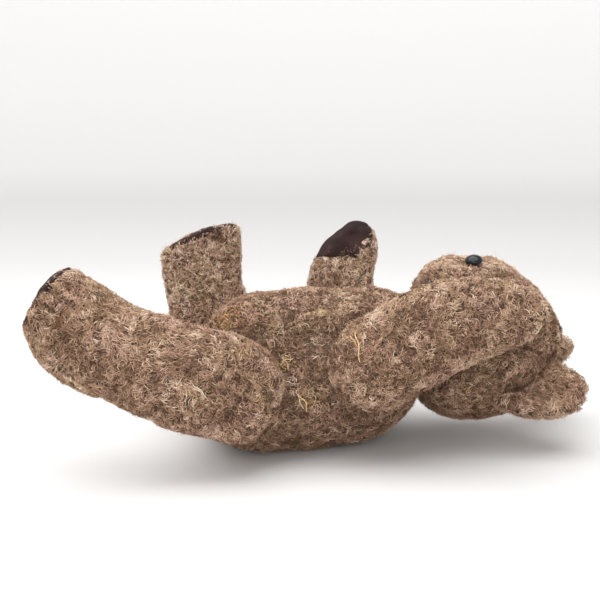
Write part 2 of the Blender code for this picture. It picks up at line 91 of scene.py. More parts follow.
def add_node(material, kind, values=(), **settings):
    """A new node of the material, with its settings and its sockets' fixed values."""
    made = material.node_tree.nodes.new(kind)
    for key, value in settings.items():
        setattr(made, key, value)
    for key, value in dict(values).items():
        made.inputs[key].default_value = value
    return made


def link(material, start, end):
    """Joins one node's output to another's input."""
    material.node_tree.links.new(start, end)


def new_material(name, **fixed):
    """A material and its Principled shader. In the names of the sockets it sets, _ stands for a space."""
    material = bpy.data.materials.new(name)
    material.use_nodes = True
    shader = material.node_tree.nodes["Principled BSDF"]
    for key, value in fixed.items():
        shader.inputs[key.replace("_", " ")].default_value = value
    return material, shader


def add_ramp(material, source, stops):
    """Colours from a number, by (place, (red, green, blue)) stops. Returns the colour output."""
    made = add_node(material, "ShaderNodeValToRGB")
    elements = made.color_ramp.elements
    while len(elements) < len(stops):
        elements.new(0.5)
    for element, (place, colour) in zip(elements, stops):
        element.position = place
        element.color = (*colour, 1.0)
    link(material, source, made.inputs["Fac"])
    return made.outputs["Color"]


def add_noise(material, scale, detail=3.0, roughness=0.5, stretch=None):
    """Noise on the object's own coordinates, its scale in features a metre. Returns the number output."""
    where = add_node(material, "ShaderNodeTexCoord").outputs["Object"]
    if stretch:
        mapping = add_node(material, "ShaderNodeMapping", {"Scale": stretch})
        link(material, where, mapping.inputs["Vector"])
        where = mapping.outputs["Vector"]
    values = {"Scale": scale, "Detail": detail, "Roughness": roughness}
    noise = add_node(material, "ShaderNodeTexNoise", values)
    link(material, where, noise.inputs["Vector"])
    return noise.outputs["Fac"]


def paint(material, shader, source, stops, socket="Base Color"):
    """Drives a socket of the shader by a ramp of a number."""
    link(material, add_ramp(material, source, stops), shader.inputs[socket])


def add_bump(material, shader, height, distance, strength=1.0):
    """Makes the shader's surface rise by the height, in metres."""
    bump = add_node(material, "ShaderNodeBump", {"Distance": distance, "Strength": strength})
    link(material, height, bump.inputs["Height"])
    link(material, bump.outputs["Normal"], shader.inputs["Normal"])


paper, paper_shader = new_material("white_paper", Roughness=0.9, Emission_Color=(1.0, 0.995, 0.99, 1.0))
paper_place = add_node(paper, "ShaderNodeSeparateXYZ")
link(paper, add_node(paper, "ShaderNodeTexCoord").outputs["Object"], paper_place.inputs["Vector"])
paper_height = paper_place.outputs["Z"]
paint(paper, paper_shader, paper_height, [(0.0, (0.76, 0.755, 0.75)), (0.15, (0.58, 0.575, 0.57))])
paint(paper, paper_shader, paper_height, [
    (0.0, (0.0,) * 3), (0.1, (0.05,) * 3), (0.25, (0.20,) * 3), (0.5, (0.29,) * 3), (1.0, (0.41,) * 3)
], "Emission Strength")

curl_up = np.linspace(0, math.pi / 2, 24)
bowl_radius = np.concatenate([[0.0, 0.4, 0.8, 1.2], 1.5 + 1.7 * np.sin(curl_up)])
bowl_height = np.concatenate([np.zeros(4), 2.2 * (1 - np.cos(curl_up))])
bowl = lathe(bowl_radius, bowl_height, 96)
floor = new_piece("paper_bowl", bowl, grid_faces(*bowl.shape[:2]))
floor.data.materials.append(paper)

sky = bpy.data.worlds.new("soft_sky")
sky.use_nodes = True
sky_inputs = sky.node_tree.nodes["Background"].inputs
sky_inputs["Color"].default_value = (1.0, 0.99, 0.98, 1.0)
sky_inputs["Strength"].default_value = 0.6
scene.world = sky
scene.view_settings.view_transform = "Standard"


def looking(ahead):
    """The turn of a lamp or camera that looks ahead."""
    return Vector(ahead).to_track_quat("-Z", "Y").to_euler()


def add_lamp(name, place, aim, size, power):
    """A square lamp that faces the aim."""
    light = bpy.data.lights.new(name, "AREA")
    light.size = size
    light.energy = power
    lamp = bpy.data.objects.new(name, light)
    lamp.location = place
    lamp.rotation_euler = looking(Vector(aim) - Vector(place))
    scene.collection.objects.link(lamp)


add_lamp("lamp_above", (-0.3, -0.15, 1.9), (0, 0, 0), 2.6, 52.0)
add_lamp("lamp_by_camera", (-0.3, -1.5, 0.7), (0, 0, 0.05), 1.4, 6.0)

view = bpy.data.cameras.new("camera")
view.lens = LENS
view.sensor_width = 36.0
camera = bpy.data.objects.new("camera", view)
camera.location = CAMERA_PLACE
level = math.cos(CAMERA_DIP)
camera.rotation_euler = looking((
    math.sin(CAMERA_TURN) * level, math.cos(CAMERA_TURN) * level, -math.sin(CAMERA_DIP)
))
scene.collection.objects.link(camera)
scene.camera = camera

# ------------------------------
# How the bear lies: on its back, rolled a little to its right, with its head turned to its left. The bear's
# frame has X to the crown, Y to its right side and Z out of its belly. A joint's frame has Z out of the
# torso, along its pin, and X along the limb or out of the face.

ROLL = math.radians(-12.0)
AXIS_HEIGHT = 59 * MM
HEAD_TURN = math.radians(52.0)
REST_ANGLES = {"left_hip": 163.0, "right_hip": 107.5, "left_shoulder": 22.0, "right_shoulder": 87.0}
BEAR_AXES = np.array([
    (1, 0, 0), (0, math.cos(ROLL), math.sin(ROLL)), (0, -math.sin(ROLL), math.cos(ROLL))
])
BEAR = (np.array((0, 0, AXIS_HEIGHT)), BEAR_AXES)
JOINT_AT = {joint["name"]: np.array(joint["pos_m"]) for joint in frame["joints"]}


def to_world(points, place):
    """Points of a frame as world points. A frame is its origin and its axes, one in each row."""
    return points @ place[1] + place[0]


def to_local(points, place):
    """World points as points of a frame."""
    return (points - place[0]) @ place[1].T


def joint_frame(name, out, angle):
    """A joint's frame: X turned by the angle from the bear's X towards its Z, and Z along out."""
    turned = math.radians(angle)
    along_limb = math.cos(turned) * BEAR_AXES[0] + math.sin(turned) * BEAR_AXES[2]
    return JOINT_AT[name], np.array([along_limb, np.cross(out, along_limb), out])


LIMB_FRAMES = {
    name: joint_frame(name, BEAR_AXES[1] * (1 if name.startswith("right") else -1), angle)
    for name, angle in REST_ANGLES.items()
}
FACE = math.cos(HEAD_TURN) * BEAR_AXES[2] - math.sin(HEAD_TURN) * BEAR_AXES[1]
NECK = (JOINT_AT["neck"], np.array([FACE, np.cross(BEAR_AXES[0], FACE), BEAR_AXES[0]]))

# ------------------------------
# The backing of the plush: a brown woven cloth, sewn into bags and packed hard. It shows between the locks
# where the pile is worn, so it is dark and felted, and paler where it is bare.

TAKE_IN = 0.6 * MM  # how much smaller a bag starts before its filling swells it
MOST_SWELL = 1.4 * MM
MOST_DENT = 1.0 * MM  # a dent never reaches the stuffing
EVEN_SQUARES = 5 * MM
SWELL_FRAMES = 20


def waves(points, length, seed, count=16):
    """Smooth random numbers about zero: the sum of sine waves of nearly that length in random directions."""
    draw = np.random.default_rng(seed)
    heading = draw.normal(size=(count, 3))
    heading /= np.linalg.norm(heading, axis=1, keepdims=True)
    number = 2 * math.pi / (length * draw.uniform(0.7, 1.4, count))
    phase = draw.uniform(0, 2 * math.pi, count)
    return np.sin(points @ (heading * number[:, None]).T + phase).sum(axis=-1) * math.sqrt(2 / count)


def bell(distance, width):
    """One where the distance is nothing, falling smoothly to a third at the width."""
    return np.exp(-((distance / width) ** 2))


def curve_through(stations, values, at):
    """A smooth curve through (station, value) points: cubics with the mean of their neighbours' slopes."""
    stations, values = np.asarray(stations), np.asarray(values)
    slopes = np.gradient(values, stations)
    at = np.clip(at, stations[0], stations[-1])
    i = np.clip(np.searchsorted(stations, at, side="right") - 1, 0, len(stations) - 2)
    step = stations[i + 1] - stations[i]
    t = (at - stations[i]) / step
    start = (2 * t**3 - 3 * t**2 + 1) * values[i] + (t**3 - 2 * t**2 + t) * step * slopes[i]
    end = (3 * t**2 - 2 * t**3) * values[i + 1] + (t**3 - t**2) * step * slopes[i + 1]
    return start + end


def rounded_ends(at, ends, caps):
    """One along the body, falling to nothing at both ends as quarter ellipses of the given lengths."""
    first = np.clip((ends[0] + caps[0] - at) / caps[0], 0, 1)
    last = np.clip((at - ends[1] + caps[1]) / caps[1], 0, 1)
    return np.sqrt(1 - first**2) * np.sqrt(1 - last**2)


def places_between(ends, rings):
    """Places from one end to the other, closer together towards both."""
    return (ends[0] + ends[1]) / 2 - (ends[1] - ends[0]) / 2 * np.cos(np.linspace(0, math.pi, rings))[:, None]


def squared(turn, exponent, low_exponent):
    """Across and up of a circle pushed towards a square, at the turn, with its lower half pushed less."""
    across, up = np.cos(turn), np.sin(turn)
    power = 2 / np.where(up < 0, low_exponent, exponent)
    return np.sign(across) * abs(across) ** power, np.sign(up) * abs(up) ** power


def closed_faces(rows):
    """Points and faces of a closed surface, facing outwards. Its first and last rows are single points."""
    rings, sides = rows.shape[0] - 2, rows.shape[1]
    points = np.vstack([rows[0, :1], rows[1:-1].reshape(-1, 3), rows[-1, :1]])
    side = np.arange(sides)
    beside = (side + 1) % sides
    last = 1 + (rings - 1) * sides
    start = np.stack([0 * side, 1 + beside, 1 + side], axis=-1)
    end = np.stack([last + side, last + beside, np.full(sides, len(points) - 1)], axis=-1)
    quads = np.array(grid_faces(rings, sides, 1))
    corner = points[quads]
    volume = np.einsum("ij,ij->", corner[:, 0], np.cross(corner[:, 1], corner[:, 2]))
    volume += np.einsum("ij,ij->", corner[:, 0], np.cross(corner[:, 2], corner[:, 3]))
    if volume < 0:
        start, end, quads = start[:, ::-1], end[:, ::-1], quads[:, ::-1]
    return points, start.tolist() + quads.tolist() + end.tolist()


def closed_skin(name, rows):
    """A closed surface from rows of points."""
    return new_piece(name, *closed_faces(rows))


def read_points(mesh, of_what="co"):
    """A mesh's points, or its points' normals, as an array."""
    flat = np.empty(len(mesh.vertices) * 3, np.float32)
    mesh.vertices.foreach_get(of_what, flat)
    return flat.reshape(-1, 3).astype(float)


def write_points(mesh, points):
    """Moves a mesh's points."""
    mesh.vertices.foreach_set("co", np.asarray(points, np.float32).ravel())
    mesh.update()


def apply_modifiers(piece):
    """Gives the piece the mesh that its modifiers make, and takes them off."""
    bpy.context.view_layer.update()
    made = bpy.data.meshes.new_from_object(piece.evaluated_get(bpy.context.evaluated_depsgraph_get()))
    piece.modifiers.clear()
    old, piece.data = piece.data, made
    bpy.data.meshes.remove(old)
    made.shade_smooth()


def swell(skin, seam):
    """Blows a bag up by a short cloth run under inner pressure. Its seams hold, and no point moves far."""
    before = read_points(skin.data)
    held = skin.vertex_groups.new(name="seam")
    for index in np.flatnonzero(seam > 0.5).tolist():
        held.add([index], 1.0, "REPLACE")
    cloth = skin.modifiers.new("swell", "CLOTH")
    cloth.settings.use_pressure = True
    cloth.settings.uniform_pressure_force = 4.0
    cloth.settings.vertex_group_mass = "seam"
    cloth.settings.effector_weights.gravity = 0.0
    cloth.point_cache.frame_start = 1
    cloth.point_cache.frame_end = SWELL_FRAMES
    for number in range(1, SWELL_FRAMES + 1):
        scene.frame_set(number)
    swollen = skin.evaluated_get(bpy.context.evaluated_depsgraph_get())
    move = read_points(swollen.data) - before
    far = np.linalg.norm(move, axis=1, keepdims=True)
    skin.modifiers.clear()
    skin.vertex_groups.clear()
    scene.frame_set(1)
    write_points(skin.data, before + move * np.minimum(1, MOST_SWELL / np.maximum(far, 1e-9)))


def dress(piece, material, body, slot, *nodes):
    """Gives a piece its material and its body, and says which nodes it stands for. slot is not used."""
    piece.data.materials.append(material)
    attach(piece, body)
    if nodes:
        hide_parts(*nodes)


backing, backing_shader = new_material("felted_backing", Roughness=0.95, Specular_IOR_Level=0.15)
bare_share = add_node(backing, "ShaderNodeAttribute", attribute_name="bare").outputs["Fac"]
backing_noise = add_noise(backing, 620.0, 5.0, 0.65)
dark_cloth = add_ramp(backing, backing_noise, [
    (0.34, (0.045, 0.026, 0.018)), (0.50, (0.13, 0.080, 0.053)), (0.68, (0.34, 0.235, 0.165))
])
bare_cloth = add_ramp(backing, backing_noise, [(0.30, (0.14, 0.088, 0.062)), (0.70, (0.36, 0.255, 0.19))])
backing_mix = add_node(backing, "ShaderNodeMix", data_type="RGBA")
for source, socket in ((bare_share, "Factor"), (dark_cloth, 6), (bare_cloth, 7)):
    link(backing, source, backing_mix.inputs[socket])
link(backing, backing_mix.outputs[2], backing_shader.inputs["Base Color"])
add_bump(backing, backing_shader, add_noise(backing, 800.0, 4.0, 0.7), 1.2 * MM, 0.9)


def stuffed_bag(name, rows, body, node, hold, seam, bare, seed, under_pad=None):
    """A packed plush bag that stands for a cover: evened out, swollen between its seams, and lumpy.

    hold keeps points out of the floor and the next pieces, seam is one on a seam, bare is how worn the pile
    is, and under_pad is one where a leather pad lies on the bag.
    """
    bag = closed_skin(name, rows)
    even = bag.modifiers.new("even", "REMESH")
    even.mode = "VOXEL"
    even.voxel_size = EVEN_SQUARES
    apply_modifiers(bag)
    write_points(bag.data, hold(read_points(bag.data) - TAKE_IN * read_points(bag.data, "normal")))
    swell(bag, seam(read_points(bag.data)))
    finer = bag.modifiers.new("finer", "SUBSURF")
    finer.levels = finer.render_levels = 1
    apply_modifiers(bag)
    points = read_points(bag.data)
    lump = 0.6 * MM * waves(points, 0.045, seed) + 0.3 * MM * waves(points, 0.014, seed + 1)
    lump = np.maximum(lump - 0.6 * MM * seam(points), -MOST_DENT)
    if under_pad:
        lump = np.where(under_pad(points), -0.9 * MM, lump)
    points = hold(points + lump[:, None] * read_points(bag.data, "normal"))
    write_points(bag.data, points)
    worn = bag.data.attributes.new("bare", "FLOAT", "POINT")
    worn.data.foreach_set("value", np.clip(bare(points), 0, 1).astype(np.float32))
    dress(bag, backing, body, "worn_plush", node)
    return bag


def near(points, middle, radius):
    """One at the middle of a round patch, falling smoothly to nothing at about its radius."""
    return np.exp(-2.5 * np.sum((points - middle) ** 2, axis=-1) / radius**2)


# ------------------------------
# The pile: curly mohair, matted into small locks that lie every way, dark at the root and pale at the tip,
# with a felted undercoat and a few long loose hairs. Each hair is a narrow pointed ribbon. Its OFBake map
# holds its shade across and its depth, root to tip, up, and that map alone colours it.

LOCK_SPACING = 3.7 * MM
HAIR_STEPS = np.linspace(0, 1, 5)
HAIR_WIDTHS = np.array((0.75, 1.0, 1.0, 0.8))
SHADE_HALF_WIDTH = 0.004
LOCK_HEIGHT = 3.1 * MM
LOOSE_SHARE = 0.10
MIDDLE_SHADE = 0.42
PAINTED_LIGHT_FROM, PAINTED_LIGHT_DEPTH = 90 * MM, 60 * MM  # up from the floor, where the pile is painted paler as painted top light
MOST_TRIANGLES = 196000  # in one piece of the pile
SHADES = {"greige": (0.02, 0.38), "rosy": (0.42, 0.78), "rust": (0.81, 0.88), "straw": (0.91, 0.98)}

mohair, mohair_shader = new_material("curly_mohair", Roughness=0.7, Specular_IOR_Level=0.25)
hair_map = add_node(mohair, "ShaderNodeUVMap", uv_map="OFBake")
hair_split = add_node(mohair, "ShaderNodeSeparateXYZ")
link(mohair, hair_map.outputs["UV"], hair_split.inputs["Vector"])
hair_shade = add_ramp(mohair, hair_split.outputs["X"], [
    (0.02, (0.12, 0.062, 0.035)), (0.16, (0.39, 0.240, 0.145)), (0.27, (0.63, 0.43, 0.285)),
    (0.38, (0.92, 0.74, 0.55)),
    (0.42, (0.12, 0.058, 0.037)), (0.56, (0.39, 0.224, 0.150)), (0.67, (0.63, 0.41, 0.300)),
    (0.78, (0.90, 0.70, 0.57)),
    (0.81, (0.22, 0.075, 0.025)), (0.88, (0.60, 0.29, 0.11)),
    (0.91, (0.55, 0.32, 0.12)), (0.98, (0.92, 0.66, 0.32)),
])
hair_depth = add_ramp(mohair, hair_split.outputs["Y"], [
    (0.0, (0.32, 0.28, 0.26)), (0.30, (0.80, 0.78, 0.76)), (0.60, (1.0, 1.0, 1.0))
])
hair_mix = add_node(mohair, "ShaderNodeMix", {"Factor": 1.0}, data_type="RGBA", blend_type="MULTIPLY")
link(mohair, hair_shade, hair_mix.inputs[6])
link(mohair, hair_depth, hair_mix.inputs[7])
link(mohair, hair_mix.outputs[2], mohair_shader.inputs["Base Color"])


def unit(vectors):
    """Vectors scaled to length one."""
    return vectors / np.maximum(np.linalg.norm(vectors, axis=-1, keepdims=True), 1e-12)


def ribbons(name, lines, sideways, half_width, shade):
    """Hairs as one mesh: each is a ribbon along its line, as long as the steps, and pointed at its tip.

    The ribbon's edges are the line moved each way along sideways by the half width there.
    """
    count, steps = lines.shape[:2]
    each = 2 * steps - 1
    offset = sideways[:, :-1] * (half_width[:, None] * HAIR_WIDTHS)[..., None]
    edges = np.stack([lines[:, :-1] - offset, lines[:, :-1] + offset], axis=2).reshape(count, -1, 3)
    points = np.concatenate([edges, lines[:, -1:]], axis=1)
    quads = 2 * np.arange(steps - 2)[:, None] + (0, 1, 3, 2)
    pattern = np.append(quads, (each - 3, each - 2, each - 1))
    starts = 4 * np.arange(steps - 1)
    hairs = np.arange(count)[:, None]
    corners = (pattern + each * hairs).ravel()
    mesh = bpy.data.meshes.new(name)
    mesh.vertices.add(count * each)
    mesh.vertices.foreach_set("co", points.astype(np.float32).ravel())
    mesh.loops.add(len(corners))
    mesh.loops.foreach_set("vertex_index", corners.astype(np.int32))
    mesh.polygons.add(count * len(starts))
    mesh.polygons.foreach_set("loop_start", (starts + len(pattern) * hairs).ravel().astype(np.int32))
    across = np.array([-1, 1] * (steps - 1) + [0])[pattern] * SHADE_HALF_WIDTH
    depth = np.append(np.repeat(HAIR_STEPS[:-1], 2), 1.0)[pattern] * 0.96 + 0.02
    chart = mesh.uv_layers.new(name="OFBake")
    charted = np.stack([shade[:, None] + across, np.broadcast_to(depth, (count, len(depth)))], axis=-1)
    chart.data.foreach_set("uv", charted.astype(np.float32).ravel())
    mesh.update(calc_edges=True)
    mesh.shade_smooth()
    piece = bpy.data.objects.new(name, mesh)
    scene.collection.objects.link(piece)
    return piece


def scatter(mesh, draw):
    """Points spread evenly over a mesh, with normals: random points, then one kept in each small cube."""
    points, normals = read_points(mesh), read_points(mesh, "normal")
    mesh.calc_loop_triangles()
    flat = np.empty(len(mesh.loop_triangles) * 3, np.int32)
    mesh.loop_triangles.foreach_get("vertices", flat)
    corners = flat.reshape(-1, 3)
    corner = points[corners]
    area = np.linalg.norm(np.cross(corner[:, 1] - corner[:, 0], corner[:, 2] - corner[:, 0]), axis=1) / 2
    count = int(5 * area.sum() / LOCK_SPACING**2)
    pick = draw.choice(len(area), count, p=area / area.sum())
    first, second = draw.random((2, count, 1))
    over = first + second > 1
    first, second = np.where(over, 1 - first, first), np.where(over, 1 - second, second)
    share = np.stack([1 - first - second, first, second], axis=1)
    at = (corner[pick] * share).sum(axis=1)
    out = unit((normals[corners[pick]] * share).sum(axis=1))
    kept = np.unique(np.floor(at / LOCK_SPACING).astype(int), axis=0, return_index=True)[1]
    return at[kept], out[kept]


def add_pile(name, skin, body, look, settle, seed, triangles):
    """Covers a skin with hair. look gives how the pile is at the locks' places, and settle presses hair down.

    look says how the pile is at each lock: keep is the chance of one, height scales it, smooth is the share
    of hair that lies along the nap instead of in a curl, comb pulls the nap, and the rest are its shades. A
    pile with too many triangles for one piece is shared out evenly over several.
    """
    draw = np.random.default_rng(seed)
    at, out = scatter(skin.data, draw)
    style = {"rust": 0.0} | look(at, out)
    kept = draw.random(len(at)) < style["keep"]
    sizes = {key: (len(at), 3) if key == "comb" else len(at) for key in style}
    style = {key: np.broadcast_to(value, sizes[key])[kept] for key, value in style.items()}
    at, out = at[kept], out[kept]
    locks = len(at)
    drift = np.stack([waves(at, 0.020, seed + number) for number in (1, 2, 3)], axis=-1)
    heading = drift + 0.7 * draw.normal(size=(locks, 3)) + style["comb"]
    heading = unit(heading - (heading * out).sum(axis=1, keepdims=True) * out)
    beside = np.cross(out, heading)
    shade = MIDDLE_SHADE + style["shade"] + 0.08 * waves(at, 0.024, seed + 4)
    shade += 0.10 * waves(at, 0.008, seed + 5)
    clump = waves(at, 0.0085, seed + 8)
    # Painted top light: the pile is painted paler the higher it stands above the floor.
    painted_top_light = np.clip((at[:, 2] - PAINTED_LIGHT_FROM) / PAINTED_LIGHT_DEPTH, 0, 1)
    # Random tone by lock. Lower clumps are painted darker and higher ones paler: painted shade in the gaps
    # between clumps.
    shade += 0.09 * draw.normal(size=locks) + 0.07 * clump + 0.15 * painted_top_light
    rosy = 0.42 + 0.30 * waves(at, 0.030, seed + 6)
    curl_radius = draw.uniform(0.9, 2.2, locks) * MM
    lock_height = LOCK_HEIGHT * style["height"] * draw.uniform(0.8, 1.2, locks) * (1 + 0.12 * clump)
    spin = draw.choice([-1, 1], locks) * draw.uniform(1.6, 3.4, locks)

    hairs = triangles // (2 * len(HAIR_STEPS) - 3)
    lock = draw.permutation(np.arange(hairs) % locks)
    chance = draw.random(hairs)
    smooth = 0.32 + 0.62 * np.clip(style["smooth"][lock], 0, 1)
    loose = chance < LOOSE_SHARE
    flowing = ~loose & (chance < LOOSE_SHARE + (1 - LOOSE_SHARE) * smooth)
    curled = ~loose & ~flowing
    height = lock_height[lock]
    t = HAIR_STEPS

    # A curled hair runs round the middle of its lock, which stands up like a small bun.
    radius = curl_radius[lock] * np.sqrt(draw.uniform(0.15, 1.0, hairs))
    angle = draw.uniform(0, 2 * math.pi, hairs)[:, None]
    angle = angle + (spin[lock] * draw.uniform(0.8, 1.2, hairs))[:, None] * t
    ring = radius[:, None] * (1.3 - draw.uniform(-0.2, 0.9, hairs)[:, None] * t)
    middle = 0.9 * MM * draw.normal(size=(2, hairs, 1))
    dome = 1 - 0.13 * ((radius + np.hypot(*middle[:, :, 0])) / MM)[:, None].clip(0, 4)
    curl_path = (
        middle[0] + ring * np.cos(angle), middle[1] + ring * np.sin(angle),
        height[:, None] * dome * np.sin(0.35 + 2.3 * t)
    )

    # A flowing hair follows the nap in a slack wave, and a loose one stands off it.
    lean = draw.normal(size=hairs) * np.where(loose, 1.8, 0.40)
    length = np.where(loose, draw.uniform(3.0, 6.5, hairs), draw.uniform(3.2, 7.5, hairs)) * MM
    wave = (draw.uniform(0.3, 0.9, hairs) * MM)[:, None] * np.sin(
        draw.uniform(0, 2 * math.pi, hairs)[:, None] + draw.uniform(3.0, 6.0, hairs)[:, None] * t)
    start = draw.normal(size=(2, hairs, 1)) * 1.6 * MM
    forth = start[0] + length[:, None] * (t - 0.4)
    flow_x = np.cos(lean)[:, None] * forth - np.sin(lean)[:, None] * wave
    flow_y = start[1] + np.sin(lean)[:, None] * forth + np.cos(lean)[:, None] * wave
    standing = (0.2 + draw.uniform(0.6, 1.35, hairs)[:, None] * t**0.8) * height[:, None]
    lying = draw.uniform(0.5, 0.95, hairs)[:, None] * height[:, None] * np.sin(0.3 + 2.4 * t)
    flow_path = (flow_x, flow_y, np.where(loose[:, None], standing, lying))
    x, y, z = (np.where(curled[:, None], one, other) for one, other in zip(curl_path, flow_path))
    lines = at[lock][:, None] + x[..., None] * heading[lock][:, None] + y[..., None] * beside[lock][:, None]
    lines = settle(lines + (z - 0.3 * MM)[..., None] * out[lock][:, None])

    width = np.where(loose, draw.uniform(0.06, 0.10, hairs), draw.uniform(0.14, 0.26, hairs)) * MM
    facing = out[lock] + 0.6 * draw.normal(size=(hairs, 3))
    sideways = unit(np.cross(unit(np.gradient(lines, axis=1)), facing[:, None]))
    hair_tone = shade[lock] + 0.12 * draw.normal(size=hairs) + np.select([loose, flowing], [0.16, 0.03], 0.0)
    chance = draw.random(hairs)
    rust, straw = chance < style["rust"][lock], chance > 1 - style["straw"][lock]
    kind = np.select([rust, straw, draw.random(hairs) < rosy[lock]], [2, 3, 1], 0)
    ends = np.array(list(SHADES.values()))[kind]
    tone = ends[:, 0] + (ends[:, 1] - ends[:, 0]) * np.clip(hair_tone, 0.02, 0.98)
    parts = -(-triangles // MOST_TRIANGLES)
    for part in range(parts):
        own = slice(part, None, parts)
        piece_name = name if parts == 1 else f"{name}_{part + 1}"
        piece = ribbons(piece_name, lines[own], sideways[own], width[own], tone[own])
        dress(piece, mohair, body, "worn_plush")


def above_floor(points, clearance=0.4 * MM):
    """Points lifted to the floor, or a little above it."""
    lifted = np.array(points)
    lifted[..., 2] = np.maximum(lifted[..., 2], clearance)
    return lifted


def above(points, place, lowest, clearance=0.4 * MM):
    """Points lifted along a frame's Z to the lowest place that they may have, and off the floor."""
    return above_floor(to_world(above_floor(to_local(points, place), lowest), place), clearance)


# ------------------------------
# Torso: two side panels and a back panel of plush, sewn along the belly and the sides, and packed hard. It is
# flat where it lies on the floor and where the head and limbs bear on it.

TORSO_ENDS = (-86 * MM, 99 * MM)
TORSO_CAPS = (50 * MM, 48 * MM)
TORSO_WIDE_CAPS = (36 * MM, 42 * MM)
TORSO = {
    "stations": np.array((-86, -20, 35, 99)) * MM,
    "heights": np.array((56, 61, 60, 53)) * MM,
    "widths": np.array((95, 76, 74, 70)) * MM,
    "bends": np.array((-5, -1.5, 0.5, 10)) * MM,
}
TORSO_SIDE = 64 * MM
TORSO_TOP = 90 * MM
TORSO_SQUARE = 2.6
TORSO_BACK_STATIONS = np.array((-30, 15)) * MM
TORSO_BACK_SQUARES = (2.6, 1.95)
PRESSED_RADIUS = 33 * MM  # round a joint, where two pieces bear on each other
LIMB_SQUARE = 2.3
LIMB_CLEARANCE = 0.25 * MM
PRESSED = 5 * MM
LEG = {
    "start": -34 * MM, "lengths": {"left": 154 * MM, "right": 148 * MM}, "caps": (36 * MM, 24 * MM),
    "stations": np.array((-34, 5, 45, 85, 115, 146)) * MM,
    "widths": np.array((36, 36.5, 36, 34, 36, 33.5)) * MM,
    "thicknesses": np.array((23, 24, 24, 22, 22, 22)) * MM,
    "bends": np.array((2, 2, 2.5, -1.5, -8, -17)) * MM,
    "rise": 0.0,
}
ARM = {
    "start": -32 * MM, "lengths": {"left": 128 * MM, "right": 131 * MM}, "caps": (34 * MM, 32 * MM),
    "stations": np.array((-32, 0, 35, 80, 128)) * MM,
    "widths": np.array((32, 33.5, 34, 29, 23)) * MM,
    "thicknesses": np.array((19, 20.5, 20, 19, 16)) * MM,
    "bends": np.array((0, 0, 4, 3, -11)) * MM,
    "rise": 21 * MM,
}
SIGNS = {"left": 1, "right": -1}
LIMB_SHAPES = {
    "left_hip": (LEG, "left"), "right_hip": (LEG, "right"),
    "left_shoulder": (ARM, "left"), "right_shoulder": (ARM, "right"),
}


def shape_line(shape, what, at):
    """A limb's or the torso's widths, thicknesses or bends at places along it."""
    return curve_through(shape["stations"], shape[what], at)


def torso_rows(rings, sides):
    """The torso's surface: squared ovals round a bent line, between rounded ends."""
    at = places_between(TORSO_ENDS, rings)
    back_square = np.interp(at, TORSO_BACK_STATIONS, TORSO_BACK_SQUARES)
    across, up = squared(full_turn(sides), TORSO_SQUARE, back_square)
    wide, high = (rounded_ends(at, TORSO_ENDS, caps) for caps in (TORSO_WIDE_CAPS, TORSO_CAPS))
    y = shape_line(TORSO, "widths", at) * wide * across
    z = shape_line(TORSO, "heights", at) * high * up + shape_line(TORSO, "bends", at)
    return to_world(np.stack([at + 0 * across, y, z], axis=-1), BEAR)


def hold_torso(points):
    """Keeps the torso's skin inside its flats and above the floor."""
    local = to_local(points, BEAR)
    local[..., 1] = np.clip(local[..., 1], -TORSO_SIDE, TORSO_SIDE)
    local[..., 0] = np.minimum(local[..., 0], TORSO_TOP)
    return above_floor(to_world(local, BEAR), 0.0)


def torso_seam(points):
    """The belly seam and the two seams that run down the back's edges."""
    local = to_local(points, BEAR)
    belly = bell(local[..., 1], 2.2 * MM)
    edge = bell(abs(local[..., 1]) - 50 * MM, 2.2 * MM) * (local[..., 2] < 0)
    return np.maximum(belly, edge)


def torso_bare(points):
    """Worn along the belly seam and on the edges of the chest."""
    on_chest = to_local(points, BEAR)[..., 2] > 0
    return 0.55 * torso_seam(points) + 0.4 * np.clip(waves(points, 0.05, 31) - 0.8, 0, 1) * on_chest


def joint_distance(points, name):
    """How far points are from a joint's pin, and how far out along it."""
    at = JOINT_AT[name]
    along_pin = NECK[1][2] if name == "neck" else LIMB_FRAMES[name][1][2]
    gap = points - at
    out = gap @ along_pin
    return np.linalg.norm(gap - out[..., None] * along_pin, axis=-1), out


def limb_margin(points, side_joint):
    """How far outside a limb's outline points are, seen along the joint's pin."""
    shape, side = LIMB_SHAPES[side_joint]
    local = to_local(points, LIMB_FRAMES[side_joint])
    ends = (shape["start"], shape["lengths"][side])
    at = np.clip(local[..., 0], ends[0] + 1 * MM, ends[1] - 1 * MM)
    middle = SIGNS[side] * shape_line(shape, "bends", at)
    half = shape_line(shape, "widths", at) * rounded_ends(at, ends, shape["caps"])
    past_end = np.maximum(ends[0] - local[..., 0], local[..., 0] - ends[1])
    return np.maximum(abs(local[..., 1] - middle) - half, past_end), local[..., 2]


def crease(points):
    """One in the crease at the foot of each limb, on the torso, where the pile is shorter and painted darker
    as painted shade.
    """
    deepest = np.zeros(points.shape[:-1])
    for name in LIMB_FRAMES:
        margin, deep = limb_margin(points, name)
        near_side = np.clip(1 + deep / (14 * MM), 0, 1) * np.clip((margin + 14 * MM) / (4 * MM), 0, 1)
        deepest = np.maximum(deepest, near_side * np.clip(1 - margin / (7 * MM), 0, 1))
    return deepest


def room_for_hair(radius, least, most):
    """How far hair may stand out of a side at a distance from the joint's pin: more, the further out."""
    return np.clip((radius - (PRESSED_RADIUS + 1 * MM)) * 0.30, least, most)


